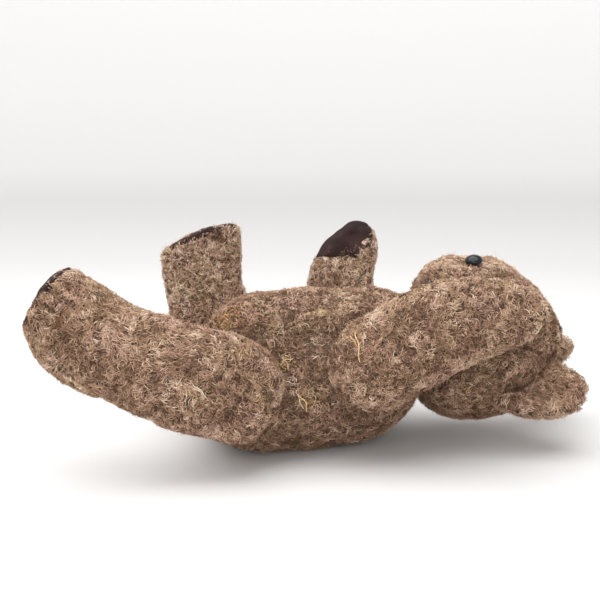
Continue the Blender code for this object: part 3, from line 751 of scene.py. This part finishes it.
def torso_look(at, out):
    """Short where limbs bear, thin on the belly seam, combed low down, with a rust stain by the left hip, and
    painted shade in the creases by the limbs and near the floor.
    """
    covered = np.zeros(len(at), bool)
    for name in JOINT_AT:
        radius, deep = joint_distance(at, name)
        covered |= (radius < PRESSED_RADIUS) & (deep > -1.5 * MM)
    for name in LIMB_FRAMES:
        margin, deep = limb_margin(at, name)
        covered |= (margin < -12 * MM) & (deep > -3 * MM)
    underneath = at[:, 2] < 1.5 * MM
    worn = torso_bare(at)
    folded = crease(at)
    local = to_local(at, BEAR)
    low = np.clip(1 - at[:, 2] / 0.055, 0, 1)
    rust = near(local, np.array((-58, -58, 36)) * MM, 17 * MM)
    ochre = near(local, np.array((-19, -64, 4)) * MM, 9 * MM)
    ochre = np.maximum(ochre, near(local, np.array((-4, -64, -24)) * MM, 7 * MM))
    return {
        "keep": np.where(covered, 0.0, np.where(underneath, 0.35, 1 - 0.5 * worn)),
        "height": (1 - 0.45 * worn) * (1 - 0.45 * folded),
        "smooth": 0.9 * worn + low,
        "comb": 2.2 * low[:, None] * BEAR_AXES[0],
        # Paler where worn; painted shade near the floor and in the creases by the limbs.
        "shade": 0.10 * worn - 0.06 * low - 0.26 * folded,
        "straw": 0.006 + 0.6 * ochre + 0.25 * rust,
        "rust": 0.6 * rust,
    }


def settle_torso(points):
    """Presses the torso's hair flat where a limb or the head bears on it, and on the floor."""
    local = to_local(points, BEAR)
    for name in LIMB_FRAMES:
        radius, deep = joint_distance(points, name)
        limit = TORSO_SIDE + room_for_hair(radius, 0.3 * MM, 8 * MM)
        local[..., 1] = np.where(deep > -15 * MM, np.clip(local[..., 1], -limit, limit), local[..., 1])
    return above_floor(to_world(local, BEAR))


torso_bag = stuffed_bag(
    "torso_bag", torso_rows(70, 96), "torso", "torso_cover", hold_torso, torso_seam, torso_bare, 11)
add_pile("torso_pile", torso_bag, "torso", torso_look, settle_torso, 110, 380000)

# ------------------------------
# Legs and arms: each is two panels of plush sewn round their outline, turned, packed, and jointed on a disc.
# The inner side is pressed flat on the torso. The pile is thin along the seam that runs round each limb.

SOLE_ROUND = 0.45
SOLE_AT = {"left": 140 * MM, "right": 127.5 * MM}
SOLE_FACING = {
    side: np.array((math.cos(math.radians(turned)), -math.sin(math.radians(turned)), 0))
    for side, turned in (("left", 21.0), ("right", 2.5))
}
BARE_SOLES = {"left": (20 * MM, 25 * MM), "right": (26 * MM, 16 * MM)}  # an oval's middle and half its height
SOLE_FRINGES = {"left": 0.4, "right": 0.9}  # how much longer the hair at the edge of a sole is


def over_sole(points, side):
    """How far points of a leg are beyond the plane of its sole."""
    return points @ SOLE_FACING[side] - SOLE_AT[side]


def bare_sole(local, side):
    """True where no pile grows on a sole: inside a leaning oval that the fur round it closes in on."""
    middle, half = BARE_SOLES[side]
    to_heel = SIGNS[side] * local[..., 1] + 17 * MM
    oval = (to_heel / (33 * MM)) ** 2 + ((local[..., 2] - middle - 0.25 * to_heel) / half) ** 2
    return (over_sole(local, side) > 0.9 * MM) & (oval < 1)


def limb_rise(shape, side, at):
    """How far a limb leans away from the torso, by the square of the way along it."""
    return shape["rise"] * np.clip(at / shape["lengths"][side], 0, 1) ** 2


def limb_surface(shape, side, at, turn):
    """Points of a limb in its joint's frame: squared ovals round a bent line, flattened on the inner side.

    A leg is flattened at its sole as well: what is beyond the sole's plane is drawn back towards it.
    """
    ends = (shape["start"], shape["lengths"][side])
    share = rounded_ends(at, ends, shape["caps"])
    across, up = squared(turn, LIMB_SQUARE, LIMB_SQUARE)
    y = SIGNS[side] * (shape_line(shape, "bends", at) + shape_line(shape, "widths", at) * share * across)
    half = np.maximum(shape_line(shape, "thicknesses", at) * (1 + share * up) - PRESSED, 0)
    points = np.stack([at + 0 * across, y, LIMB_CLEARANCE + limb_rise(shape, side, at) + half], axis=-1)
    if shape is LEG:
        beyond = (1 - SOLE_ROUND) * np.maximum(over_sole(points, side), 0)
        points -= beyond[..., None] * SOLE_FACING[side]
    return points


def limb_seam(shape, local):
    """One on the seam round the limb's outline, where its two panels meet halfway through its thickness."""
    middle = shape_line(shape, "thicknesses", local[..., 0]) - PRESSED
    return bell(local[..., 2] - middle - LIMB_CLEARANCE - limb_rise(shape, "left", local[..., 0]), 2.0 * MM)


PALM_TURNS = {"left": 0.15, "right": 0.9}  # the right palm is sewn on further round than the left one
PALM_TIPS = {"left": 1 * MM, "right": 4 * MM}
PALM_SPREADS = {"left": -0.3, "right": 0.2}


def palm_extent(side, turn):
    """How far back from the paw's tip the palm reaches: a long way on the inner side."""
    facing = 1 / (1 + np.exp(-6 * (np.cos(turn - 1.5 * math.pi - PALM_TURNS[side]) + PALM_SPREADS[side])))
    return PALM_TIPS[side] + (35 * MM - PALM_TIPS[side]) * facing


def add_limb(kind, side, shape, patches, seed, triangles):
    """A limb's bag and its pile. patches are (place in its frame, radius, what changes), in millimetres."""
    joint = f"{side}_{'hip' if kind == 'leg' else 'shoulder'}"
    place = LIMB_FRAMES[joint]
    end = shape["lengths"][side]

    def hold(points):
        return above(points, place, LIMB_CLEARANCE, 0.0)

    def seam(points):
        return limb_seam(shape, to_local(points, place))

    def bare(points):
        return 0.7 * seam(points)

    def under_pad(points, margin=0.0):
        local = to_local(points, place)
        if kind == "leg":
            return over_sole(local, side) > 2 * MM * SOLE_ROUND - margin
        along, cap = local[..., 0], shape["caps"][1]
        middle = shape_line(shape, "thicknesses", along) - PRESSED + limb_rise(shape, side, along)
        across = SIGNS[side] * local[..., 1] - shape_line(shape, "bends", along)
        turn = np.arctan2(local[..., 2] - middle, across)
        over_cap = np.clip((along - end + cap) / cap, 0, 1)
        back = cap * (1 - 2 / math.pi * np.arcsin(over_cap)) + np.maximum(end - cap - along, 0)
        return back < palm_extent(side, turn) - 3 * MM + margin

    def look(at, out):
        local = to_local(at, place)
        radius = np.hypot(local[:, 0], local[:, 1])
        hidden = (radius < PRESSED_RADIUS) & (local[:, 2] < 1.5 * MM)
        inner = np.clip(1.4 - local[:, 2] / (9 * MM), 0, 1) * np.clip(2 - radius / (28 * MM), 0, 1)
        rim = np.clip(1.6 * bell(limb_margin(at, joint)[0] + 1.5 * MM, 5 * MM), 0, 1)
        rim = rim * (local[:, 2] > 9 * MM) * np.clip(0.55 + 0.35 * waves(at, 0.03, seed + 50), 0, 1)
        low = np.clip(1 - at[:, 2] / 0.05, 0, 1)
        along_seam = np.cross(out, place[1][2])
        on_leather = bare_sole(local, side) if kind == "leg" else under_pad(at, -3 * MM)
        fringe = np.zeros(len(at))
        if kind == "leg":
            fringe = bell(over_sole(local, side) + 1 * MM, 5 * MM)
        style = {
            "keep": np.where(hidden | on_leather, 0.0, np.where(at[:, 2] < 1.5 * MM, 0.35, 1.0)),
            "height": (1 - 0.25 * rim) * (1 - 0.5 * inner) * (1 + SOLE_FRINGES[side] * fringe),
            "smooth": 0.6 * rim + 0.5 * fringe,
            "comb": 0.5 * place[1][0] + 0.9 * rim[:, None] * along_seam + 1.6 * fringe[:, None] * place[1][0],
            # Paler on the rim, as worn pile on the seam and partly a painted highlight on the edge; painted
            # shade near the floor and on the inner side by the torso.
            "shade": 0.13 * rim - 0.06 * low - 0.16 * inner,
            "straw": 0.006,
            "rust": 0.0,
        }
        for middle, spread, changes in patches:
            amount = near(local, np.array(middle) * MM, spread * MM)
            for key, value in changes.items():
                if key == "comb":
                    style[key] = style[key] + amount[:, None] * (np.array(value) @ place[1])
                else:
                    style[key] = style[key] + amount * value
        return style

    def settle(points):
        room = room_for_hair(joint_distance(points, joint)[0], 0.2 * MM, 6 * MM)
        return above(points, place, LIMB_CLEARANCE - room)

    rows = limb_surface(shape, side, places_between((shape["start"], end), 70), full_turn(64))
    body = f"{side}_{kind}"
    bag = stuffed_bag(
        f"{body}_bag", to_world(rows, place), body, f"{kind}_{side}_cover", hold, seam, bare, seed,
        lambda points: under_pad(points, 1.5 * MM)
    )
    add_pile(f"{body}_pile", bag, body, look, settle, seed * 10, triangles)


LEFT_LEG_PATCHES = [
    ((94, -20, 38), 30, {"comb": (2.2, 0.4, 0), "smooth": 0.8, "shade": 0.10}),
    ((44, -18, 40), 34, {"comb": (2.2, 0.3, 0), "smooth": 0.7, "shade": 0.08}),
    ((124, -8, 38), 7, {"rust": 0.55, "shade": -0.10}),
    ((119, 0, 38), 17, {"shade": -0.16}),
    ((3, -28, 37), 8, {"straw": 0.5, "shade": 0.1}),
]
RIGHT_LEG_PATCHES = [
    ((125, 27, 0), 7, {"shade": -0.55, "rust": 0.25}),
    # Painted light: the far side of this leg is painted paler all over.
    ((90, 0, 5), 90, {"shade": 0.17}),
]
add_limb("leg", "left", LEG, LEFT_LEG_PATCHES, 21, 290000)
add_limb("leg", "right", LEG, RIGHT_LEG_PATCHES, 22, 195000)
add_limb("arm", "left", ARM, [], 23, 195000)
# The right arm's broad patch is painted paler: painted light on the far arm.
add_limb("arm", "right", ARM, [((70, 0, 5), 90, {"shade": 0.17})], 24, 140000)

# ------------------------------
# Head: two side panels and a gusset from the nose over the crown, packed into an egg with a low muzzle. The
# pile is longest here. It is worn smooth on the brow between the eyes.

HEAD_MIDDLE = np.array((4.5, 0, 50)) * MM
HEAD_BACK = 51 * MM
HEAD_CROWN = 68 * MM
HEAD_RADIUS = 64.5 * MM
MUZZLE_DROOP = 31.0
MUZZLE_LENGTH = 10 * MM
MUZZLE_SPREAD = 21.0
GUSSET = 20 * MM  # half its width


def head_reach(direction):
    """How far the head's surface is from its middle: an egg about the crown axis, and the muzzle's bump."""
    up = direction[..., 2]
    level = np.sqrt(np.maximum(1 - up**2, 0))
    exponent = np.where(up < 0, 3.2, 1.6)
    length = np.where(up < 0, HEAD_BACK, HEAD_CROWN)
    reach = (abs(up / length) ** exponent + (level / HEAD_RADIUS) ** exponent) ** (-1 / exponent)
    droop = math.radians(MUZZLE_DROOP)
    away = np.degrees(np.arccos(np.clip(direction @ (math.cos(droop), 0, -math.sin(droop)), -1, 1)))
    return reach + MUZZLE_LENGTH * np.exp(-((away / MUZZLE_SPREAD) ** 4))


def head_direction(crown, side):
    """Unit vectors turned in degrees from the face towards the crown and towards the left side."""
    crown, side = np.radians(crown), np.radians(side)
    level = np.cos(crown)
    return np.stack([level * np.cos(side), level * np.sin(side), np.sin(crown) + 0 * side], axis=-1)


def head_point(crown, side, above=0.0):
    """A point of the head's surface, or above it, in the neck's frame."""
    direction = head_direction(crown, side)
    return direction * (head_reach(direction) + above)[..., None] + HEAD_MIDDLE


def head_rows(rings, sides):
    """The head's surface from the neck to the crown."""
    down = np.linspace(0, math.pi, rings)
    direction = lathe(np.sin(down), -np.cos(down), sides)
    return to_world(direction * head_reach(direction)[..., None] + HEAD_MIDDLE, NECK)


def hold_head(points):
    """Keeps the head's skin off the torso."""
    return above(points, NECK, LIMB_CLEARANCE, 0.0)


def head_seam(points):
    """The gusset's two seams over the crown, and the seam under the chin."""
    local = to_local(points, NECK) - HEAD_MIDDLE
    width = GUSSET * np.clip(0.45 + local[..., 2] / (60 * MM), 0.3, 1.0)
    sides = bell(abs(local[..., 1]) - width, 1.8 * MM) * (local[..., 0] > -20 * MM)
    chin = bell(local[..., 1], 1.8 * MM) * ((local[..., 0] > 0) & (local[..., 2] < -38 * MM))
    return np.maximum(sides, chin)


def head_bare(points):
    """Bald by the eye and under the nose."""
    local = to_local(points, NECK)
    brow = near(local, head_point(-23.0, -20.0), 15 * MM)
    snout = near(local, head_point(-MUZZLE_DROOP - 22, 0.0), 16 * MM)
    return np.clip(brow + 0.5 * snout, 0, 1)


def head_look(at, out):
    """Thick and matted, thin on brow and chin, combed underneath, with a tuft over the nose. Painted shade
    darkens it underneath, below the arm and at the ear's foot, and painted top light makes its top paler.
    """
    worn = head_bare(at)
    low = np.clip(1 - at[:, 2] / 0.06, 0, 1)
    hidden = (at[:, 0] < NECK[0][0] + 2 * MM) & (joint_distance(at, "neck")[0] < 30 * MM)
    local = to_local(at, NECK)
    tuft = near(local, head_point(-MUZZLE_DROOP - 7, -9.0), 11 * MM)
    to_nose = unit(head_point(-MUZZLE_DROOP - 8, 0.0) + (0, 5 * MM, 0) - local) @ NECK[1]
    ear_foot_shade = bell(local[:, 0] - HEAD_MIDDLE[0] - 10 * MM, 6 * MM)
    ear_foot_shade *= (local[:, 1] > 25 * MM) & (local[:, 2] > HEAD_MIDDLE[2] - 8 * MM)
    under_arm_shade = np.clip(1 - abs(limb_margin(at, "left_shoulder")[0]) / (16 * MM), 0, 1)
    high = np.clip((at[:, 2] - 0.11) / 0.025, 0, 1)
    return {
        "keep": np.where(hidden, 0.0, 1 - 0.35 * worn),
        "height": (1.1 - 0.25 * low) * (1 - 0.72 * worn) + 1.3 * tuft,
        "smooth": 0.8 * worn + 0.5 * low + tuft,
        # Paler where worn; painted shade underneath, below the left arm and at the left ear's foot; painted
        # top light on the head's top.
        "shade": 0.12 * worn - 0.10 * low - 0.20 * under_arm_shade - 0.22 * ear_foot_shade + 0.12 * high,
        "comb": (0.4 + 0.8 * low[:, None]) * NECK[1][2] + 2.5 * tuft[:, None] * to_nose,
        "straw": 0.004,
    }


def settle_head(points):
    """Presses the head's hair on the torso and keeps it off the floor."""
    return above(points, NECK, -1.5 * MM)


head_bag = stuffed_bag(
    "head_bag", head_rows(70, 96), "head", "head_cover", hold_head, head_seam, head_bare, 41)
add_pile("head_pile", head_bag, "head", head_look, settle_head, 410, 380000)

# ------------------------------
# Ears: two layers of plush sewn round, turned and stitched to the head along the lower edge. Each is a thick
# cupped flap with a rolled rim.

EAR_PLACE = {"left": (33.0, 87.0, 54.0, 84.0), "right": (67.0, 156.0, 45.0, 44.0)}  # up, round, out, lean
EAR_SIZES = {"left": np.array((40, 28.5, 5)) * MM, "right": np.array((37, 25, 5.5)) * MM}
EAR_PILES = {"left": (1.2, 510, 60000), "right": (1.8, 520, 40000)}  # height, seed and triangles
EAR_CUP = 6 * MM


def ear_frame(side):
    """The middle of an ear with X along its reach, Y along its seam and Z out of its hollow side."""
    sign = SIGNS[side]
    up, round_from_face, out, lean = EAR_PLACE[side]
    turned, lean = math.radians(round_from_face), math.radians(lean)
    radial = np.array((math.cos(turned), sign * math.sin(turned), 0))
    middle = radial * out * MM + HEAD_MIDDLE + (0, 0, up * MM)
    reach = radial * math.cos(lean) + np.array((0, 0, math.sin(lean)))
    forward = np.array((math.sin(turned), -sign * math.cos(turned), 0))
    axes = np.array([reach, np.cross(forward, reach), forward])
    return to_world(middle, NECK), axes @ NECK[1]


def ear_rows(side, rings=40, sides=56):
    """A flattened ball, cupped towards its forward side, with a rolled rim and a fold across it."""
    down = np.linspace(0, math.pi, rings)
    length, width, thickness = EAR_SIZES[side]
    x, y, z = np.moveaxis(lathe(np.sin(down), np.cos(down), sides) * (length, width, -1), -1, 0)
    far = np.sqrt((x / length) ** 2 + (y / width) ** 2)
    cup = EAR_CUP * far**2 - EAR_CUP / 2
    rim = 1.5 * MM * bell(far - 0.86, 0.12) * np.sign(z)
    fold = -2.2 * MM * bell(y - 0.25 * x, 5 * MM) * (x < 18 * MM)
    return to_world(np.stack([x, y, cup + thickness * z + rim + fold * (z > 0)], axis=-1), ear_frame(side))


for side, (pile_height, seed, triangles) in EAR_PILES.items():
    ear = closed_skin(f"{side}_ear_flap", above_floor(ear_rows(side)))
    ear.data.attributes.new("bare", "FLOAT", "POINT")
    dress(ear, backing, "head", "bare_plush", f"ear_{side}")

    def ear_look(at, out, place=ear_frame(side), size=EAR_SIZES[side], height=pile_height):
        """Combed along the ear, paler on the rim, and none inside the head."""
        local = to_local(at, NECK) - HEAD_MIDDLE
        inside = np.linalg.norm(local, axis=1) < head_reach(unit(local)) - 1 * MM
        rim = np.clip(np.hypot(*(to_local(at, place)[:, :2] / size[:2]).T) - 0.6, 0, 0.4)
        return {
            "keep": np.where(inside, 0.0, 1.0), "height": height, "smooth": 0.5, "comb": 1.6 * place[1][0],
            "shade": 0.03 + 0.25 * rim, "straw": 0.004,
        }

    add_pile(f"{side}_ear_pile", ear, "head", ear_look, above_floor, seed, triangles)

# ------------------------------
# Soles and palms: dark brown leather, cut oval, turned in at the edge and oversewn to the plush with dark
# thread. It is smooth and dull with age, creased near the edge and scuffed.

LEATHER = 1.3 * MM

leather, leather_shader = new_material("aged_leather", Specular_IOR_Level=0.16)
leather_stains, leather_scuffs = add_noise(leather, 45.0, 5.0, 0.6), add_noise(leather, 120.0)
paint(leather, leather_shader, leather_stains, [
    (0.30, (0.014, 0.007, 0.006)), (0.55, (0.027, 0.012, 0.010)), (0.78, (0.072, 0.038, 0.032))
])
paint(leather, leather_shader, leather_scuffs, [(0.3, (0.58,) * 3), (0.7, (0.82,) * 3)], "Roughness")
grain = add_node(leather, "ShaderNodeTexVoronoi", {"Scale": 1100.0}, feature="SMOOTH_F1")
link(leather, add_node(leather, "ShaderNodeTexCoord").outputs["Object"], grain.inputs["Vector"])
add_bump(leather, leather_shader, grain.outputs["Distance"], 0.25 * MM, 0.55)


def limb_end(shape, side, back, turn):
    """A point of a limb's end: back is how far it is from the tip, measured over the surface."""
    cap, end = shape["caps"][1], shape["lengths"][side]
    over_cap = end - cap * (1 - np.cos(math.pi / 2 * np.clip(back / cap, 0, 1)))
    return limb_surface(shape, side, over_cap - np.maximum(back - cap, 0), turn)


def sole_extent(side, turn):
    """How far back from a leg's tip its sole's edge is at each turn, found on a fine table of places."""
    back = np.linspace(0, 60, 241)[:, None] * MM
    above = over_sole(limb_end(LEG, side, back, turn + 0 * back), side) > 0.3 * MM
    return back[:, 0][np.argmin(above, axis=0)]


def add_pad(name, node, joint, body, extent):
    """A leather pad over a limb's end, as far back from the tip as extent gives for each turn.

    Rows run from the tip to the edge, which is rolled under, and close beneath the skin.
    """
    shape, side = LIMB_SHAPES[joint]
    turn = full_turn(72)
    share = np.concatenate([np.linspace(0, 1, 30), [1.0, 0.97, 0.0]])[:, None]
    lift = LEATHER * np.sqrt(np.clip(1.0 - np.clip((share - 0.9) / 0.1, 0, 1) ** 2, 0.12, 1))
    lift[-3:] = np.array((0.1, -0.8, -1.5))[:, None] * MM
    back, turn = share * extent(side, turn), turn + 0 * share
    rows = limb_end(shape, side, back, turn)
    further = limb_end(shape, side, back + 0.5 * MM, turn)
    around = limb_end(shape, side, back, turn + 0.02)
    out = unit(np.cross(further - rows, around - rows))
    middle = np.array((shape["lengths"][side] - shape["caps"][1], 0, 15 * MM))
    out *= np.sign(((rows - middle) * out).sum(axis=-1, keepdims=True))
    out[0] = out[1].mean(axis=0)
    out = unit(out)
    creases = 0.30 * MM * waves(rows, 0.012, 71) + 0.4 * MM * waves(rows, 0.03, 72)
    creases = creases * np.clip((1 - share) * 6, 0, 1)
    points = above_floor(to_world(rows + out * (lift + creases)[..., None], LIMB_FRAMES[joint]))
    dress(closed_skin(name, points), leather, body, "worn_leather", node)


for side in ("left", "right"):
    add_pad(f"{side}_sole", f"foot_pad_{side}", f"{side}_hip", f"{side}_leg", sole_extent)
    add_pad(f"{side}_palm", f"paw_pad_{side}", f"{side}_shoulder", f"{side}_arm", palm_extent)

# ------------------------------
# Eyes: domes of black glass with a flat back, each on a wire shank that passes through the plush and is
# knotted inside. They are glossy, with a faint grey bloom.

EYE_ANGLES = (-7.0, 22.0)
EYE_RADIUS = 7 * MM
EYE_BACK = 1.8 * MM
EYE_HEIGHT = 4.2 * MM

glass, glass_shader = new_material("black_glass", Roughness=0.08, Specular_IOR_Level=0.35)
paint(glass, glass_shader, add_noise(glass, 240.0, 4.0), [
    (0.35, (0.003, 0.004, 0.005)), (0.60, (0.006, 0.010, 0.012)), (0.85, (0.02, 0.03, 0.035))
])


def head_place(crown, side):
    """A frame on the head's surface with Z out of it and X towards the left side."""
    direction = head_direction(crown, side)
    across = unit(np.cross((0, 0, 1.0), direction))
    axes = np.array([across, np.cross(direction, across), direction])
    return to_world(head_point(crown, side), NECK), axes @ NECK[1]


rise = np.linspace(0, math.pi / 2, 18)
level = np.cos(rise[:-1])
eye_radius = EYE_RADIUS * np.concatenate([[0, 0.5, 0.8, 0.92], 0.97 * level**0.96 + 0.03 * level, [0]])
eye_height = EYE_BACK + np.concatenate([[0, 0, 0, 0.2 * MM], 1.0 * MM + EYE_HEIGHT * np.sin(rise)])
for side, sign in SIGNS.items():
    rows = to_world(lathe(eye_radius, eye_height, 40), head_place(EYE_ANGLES[0], EYE_ANGLES[1] * sign))
    dress(closed_skin(f"{side}_glass_eye", rows), glass, "head", "black_glass", f"eye_{side}")

# ------------------------------
# Nose and mouth: black cotton, faded to brown. The nose is a row of long stitches side by side over a felt
# pad, and the mouth is one stitch down from it and one curved stitch across the end of that.

THREAD = 0.6 * MM
THREAD_TWIST = 900.0

cotton, cotton_shader = new_material("black_cotton", Roughness=0.8, Sheen_Weight=0.2)
paint(cotton, cotton_shader, add_noise(cotton, 1500.0, 2.0), [
    (0.3, (0.020, 0.013, 0.010)), (0.7, (0.090, 0.060, 0.044))
])
add_bump(cotton, cotton_shader, add_noise(cotton, 2500.0, 2.0), 0.2 * MM)


def thread_rows(path, radius, sides=10):
    """A tube along a path with tapered ends. Its section has two lobes and turns along it, as in a thread."""
    heading = unit(np.gradient(path, axis=0))
    first = unit(np.cross(heading, (0.31, 0.17, 1.0)))
    second = np.cross(heading, first)
    far = np.concatenate([[0], np.cumsum(np.linalg.norm(np.diff(path, axis=0), axis=1))])[:, None]
    turn = full_turn(sides)
    lobes = 1 + 0.14 * np.cos(2 * (turn + THREAD_TWIST * far))
    taper = np.sqrt(np.clip(1 - np.linspace(-1, 1, len(path)) ** 14, 0, 1))[:, None]
    around = first[:, None] * np.cos(turn)[:, None] + second[:, None] * np.sin(turn)[:, None]
    return path[:, None] + (radius * lobes * taper)[..., None] * around


def add_thread(name, path, radius, *dressing):
    """A thread that lies along a path."""
    dress(closed_skin(name, thread_rows(path, radius)), *dressing)


NOSE_HALF = np.array((9.0, 6.0)) * MM
nose_place = head_place(-MUZZLE_DROOP - 8, 0)
nose_points, nose_faces = np.empty((0, 3)), []
run = np.linspace(-1, 1, 14)
for share in np.linspace(-0.93, 0.93, 15):
    half = NOSE_HALF[1] * math.sqrt(1 - share**2)
    arch = 1.7 * MM * np.sqrt((1 - share**2 * 0.8) * (1 - run**2 * 0.98))
    path = np.stack([np.full_like(run, NOSE_HALF[0] * share), half * run, arch + 0.2 * MM], axis=-1)
    points, faces = closed_faces(to_world(thread_rows(path, 0.75 * MM, 8), nose_place))
    nose_faces += [[len(nose_points) + corner for corner in face] for face in faces]
    nose_points = np.vstack([nose_points, points])
dress(new_piece("stitched_nose", nose_points, nose_faces), cotton, "head", "black_thread", "nose")

mouth_side = np.linspace(-9.0, 9.0, 40)
mouth_bottom = -MUZZLE_DROOP - 18
mouth_path = head_point(mouth_bottom + 4 * (mouth_side / 9.0) ** 2, mouth_side, 1.1 * MM)
lip_crown = np.linspace(-MUZZLE_DROOP - 13, mouth_bottom + 1.6, 16)
lip_path = head_point(lip_crown, 0 * lip_crown, 1.1 * MM)
for name, path in (("mouth", mouth_path), ("lip", lip_path)):
    path = to_world(path, NECK)
    add_thread(f"{name}_stitch", path, THREAD, cotton, "head", "black_thread", f"{name}_thread")

# ------------------------------
# Loose threads: a few ends of straw and pale thread that have worked out through the plush and lie on the
# pile. Each is one or two strands with a slack bend.

straw_end, straw_shader = new_material("straw_end", Roughness=0.6)
pale_end, pale_shader = new_material("pale_thread_end", Roughness=0.8)
straw_noise, pale_noise = add_noise(straw_end, 400.0), add_noise(pale_end, 400.0)
paint(straw_end, straw_shader, straw_noise, [(0.3, (0.60, 0.34, 0.12)), (0.7, (0.85, 0.60, 0.30))])
paint(pale_end, pale_shader, pale_noise, [(0.3, (0.50, 0.38, 0.28)), (0.7, (0.80, 0.66, 0.52))])


def thread_end(places, bend, count=24):
    """A smooth path through three places, swayed from side to side by the bend."""
    first, middle, last = np.asarray(places, float) * MM
    t = np.linspace(0, 1, count)[:, None]
    path = first * (1 - t) * (1 - 2 * t) + 4 * middle * t * (1 - t) + last * t * (2 * t - 1)
    sway = unit(np.cross(last - first, middle))
    return path + bend * MM * np.sin(2 * math.pi * 1.3 * t + 0.5) * sway


LOOSE_ENDS = [  # each body's ends: name, material, radius and bend in millimetres, and the three places
    ("left_arm", LIMB_FRAMES["left_shoulder"], [
        ("left_arm_straw", straw_end, 0.38, 0.9, ((-4, 27, 31), (-8, 18, 37), (-10.5, 6, 38))),
        ("left_arm_straw_fork", straw_end, 0.28, 0.4, ((-9, 26, 31.5), (-9, 21, 36), (-8, 17, 37))),
    ]),
    ("left_leg", LIMB_FRAMES["left_hip"], [
        ("left_leg_pale_thread", pale_end, 0.32, 0.6, ((28, 5, 48), (22, 8, 48.5), (16.5, 11, 47.5))),
        ("left_leg_pale_thread_end", pale_end, 0.28, 0.5, ((27, 7.5, 48), (22, 9, 48.2), (18, 13, 47))),
    ]),
    ("torso", BEAR, [
        ("side_straw", straw_end, 0.38, 0.8, ((-8.5, -68.5, -19), (-4.5, -69.5, -25), (-2, -68, -32))),
        ("side_pale_thread", pale_end, 0.32, 0.8, ((-9, -68, -16), (-9.5, -69.5, -21), (-4, -68.5, -30))),
        ("hip_straw", straw_end, 0.35, 0.7, ((-22, -67.5, 2), (-18, -69.5, 5), (-12, -68, 7))),
        ("hip_pale_thread", pale_end, 0.28, 0.6, ((-20, -67.5, 8), (-17, -69.5, 3), (-15, -67.5, -2))),
    ]),
]
for body, place, ends in LOOSE_ENDS:
    for name, material, radius, bend, places in ends:
        add_thread(name, to_world(thread_end(places, bend), place), radius * MM, material, body, "worn_plush")

# ------------------------------
# Inside: packed wood wool, hardboard discs, and steel washers, split pins and eye shanks with a little rust.
# These stay as the frame has them, and each gets its real finish.

wood_wool, wool_shader = new_material("wood_wool", Roughness=0.9)
wool_strands = add_noise(wood_wool, 220.0, 6.0, 0.7, (1.0, 0.25, 0.6))
paint(wood_wool, wool_shader, wool_strands, [
    (0.25, (0.26, 0.17, 0.08)), (0.5, (0.56, 0.43, 0.24)), (0.75, (0.80, 0.68, 0.45))
])
add_bump(wood_wool, wool_shader, wool_strands, 2 * MM)

hardboard, board_shader = new_material("hardboard", Roughness=0.8)
board_fibres = add_noise(hardboard, 500.0, 5.0, 0.7)
paint(hardboard, board_shader, board_fibres, [(0.3, (0.13, 0.07, 0.035)), (0.7, (0.30, 0.18, 0.10))])
add_bump(hardboard, board_shader, board_fibres, 0.2 * MM)

steel, steel_shader = new_material("dull_steel", Metallic=1.0)
steel_noise = add_noise(steel, 350.0, 5.0, 0.6)
paint(steel, steel_shader, steel_noise, [
    (0.35, (0.50, 0.49, 0.47)), (0.62, (0.38, 0.36, 0.33)), (0.75, (0.22, 0.11, 0.05))
])
paint(steel, steel_shader, steel_noise, [(0.3, (0.35,) * 3), (0.8, (0.8,) * 3)], "Roughness")

INNER = {"stuffing": wood_wool, "disc": hardboard, "washer": steel, "pin": steel, "shank": steel}
for name, node in frame["nodes"].items():
    for word, material in INNER.items():
        if word in name.split("_"):
            for material_slot in node.material_slots:
                material_slot.material = material
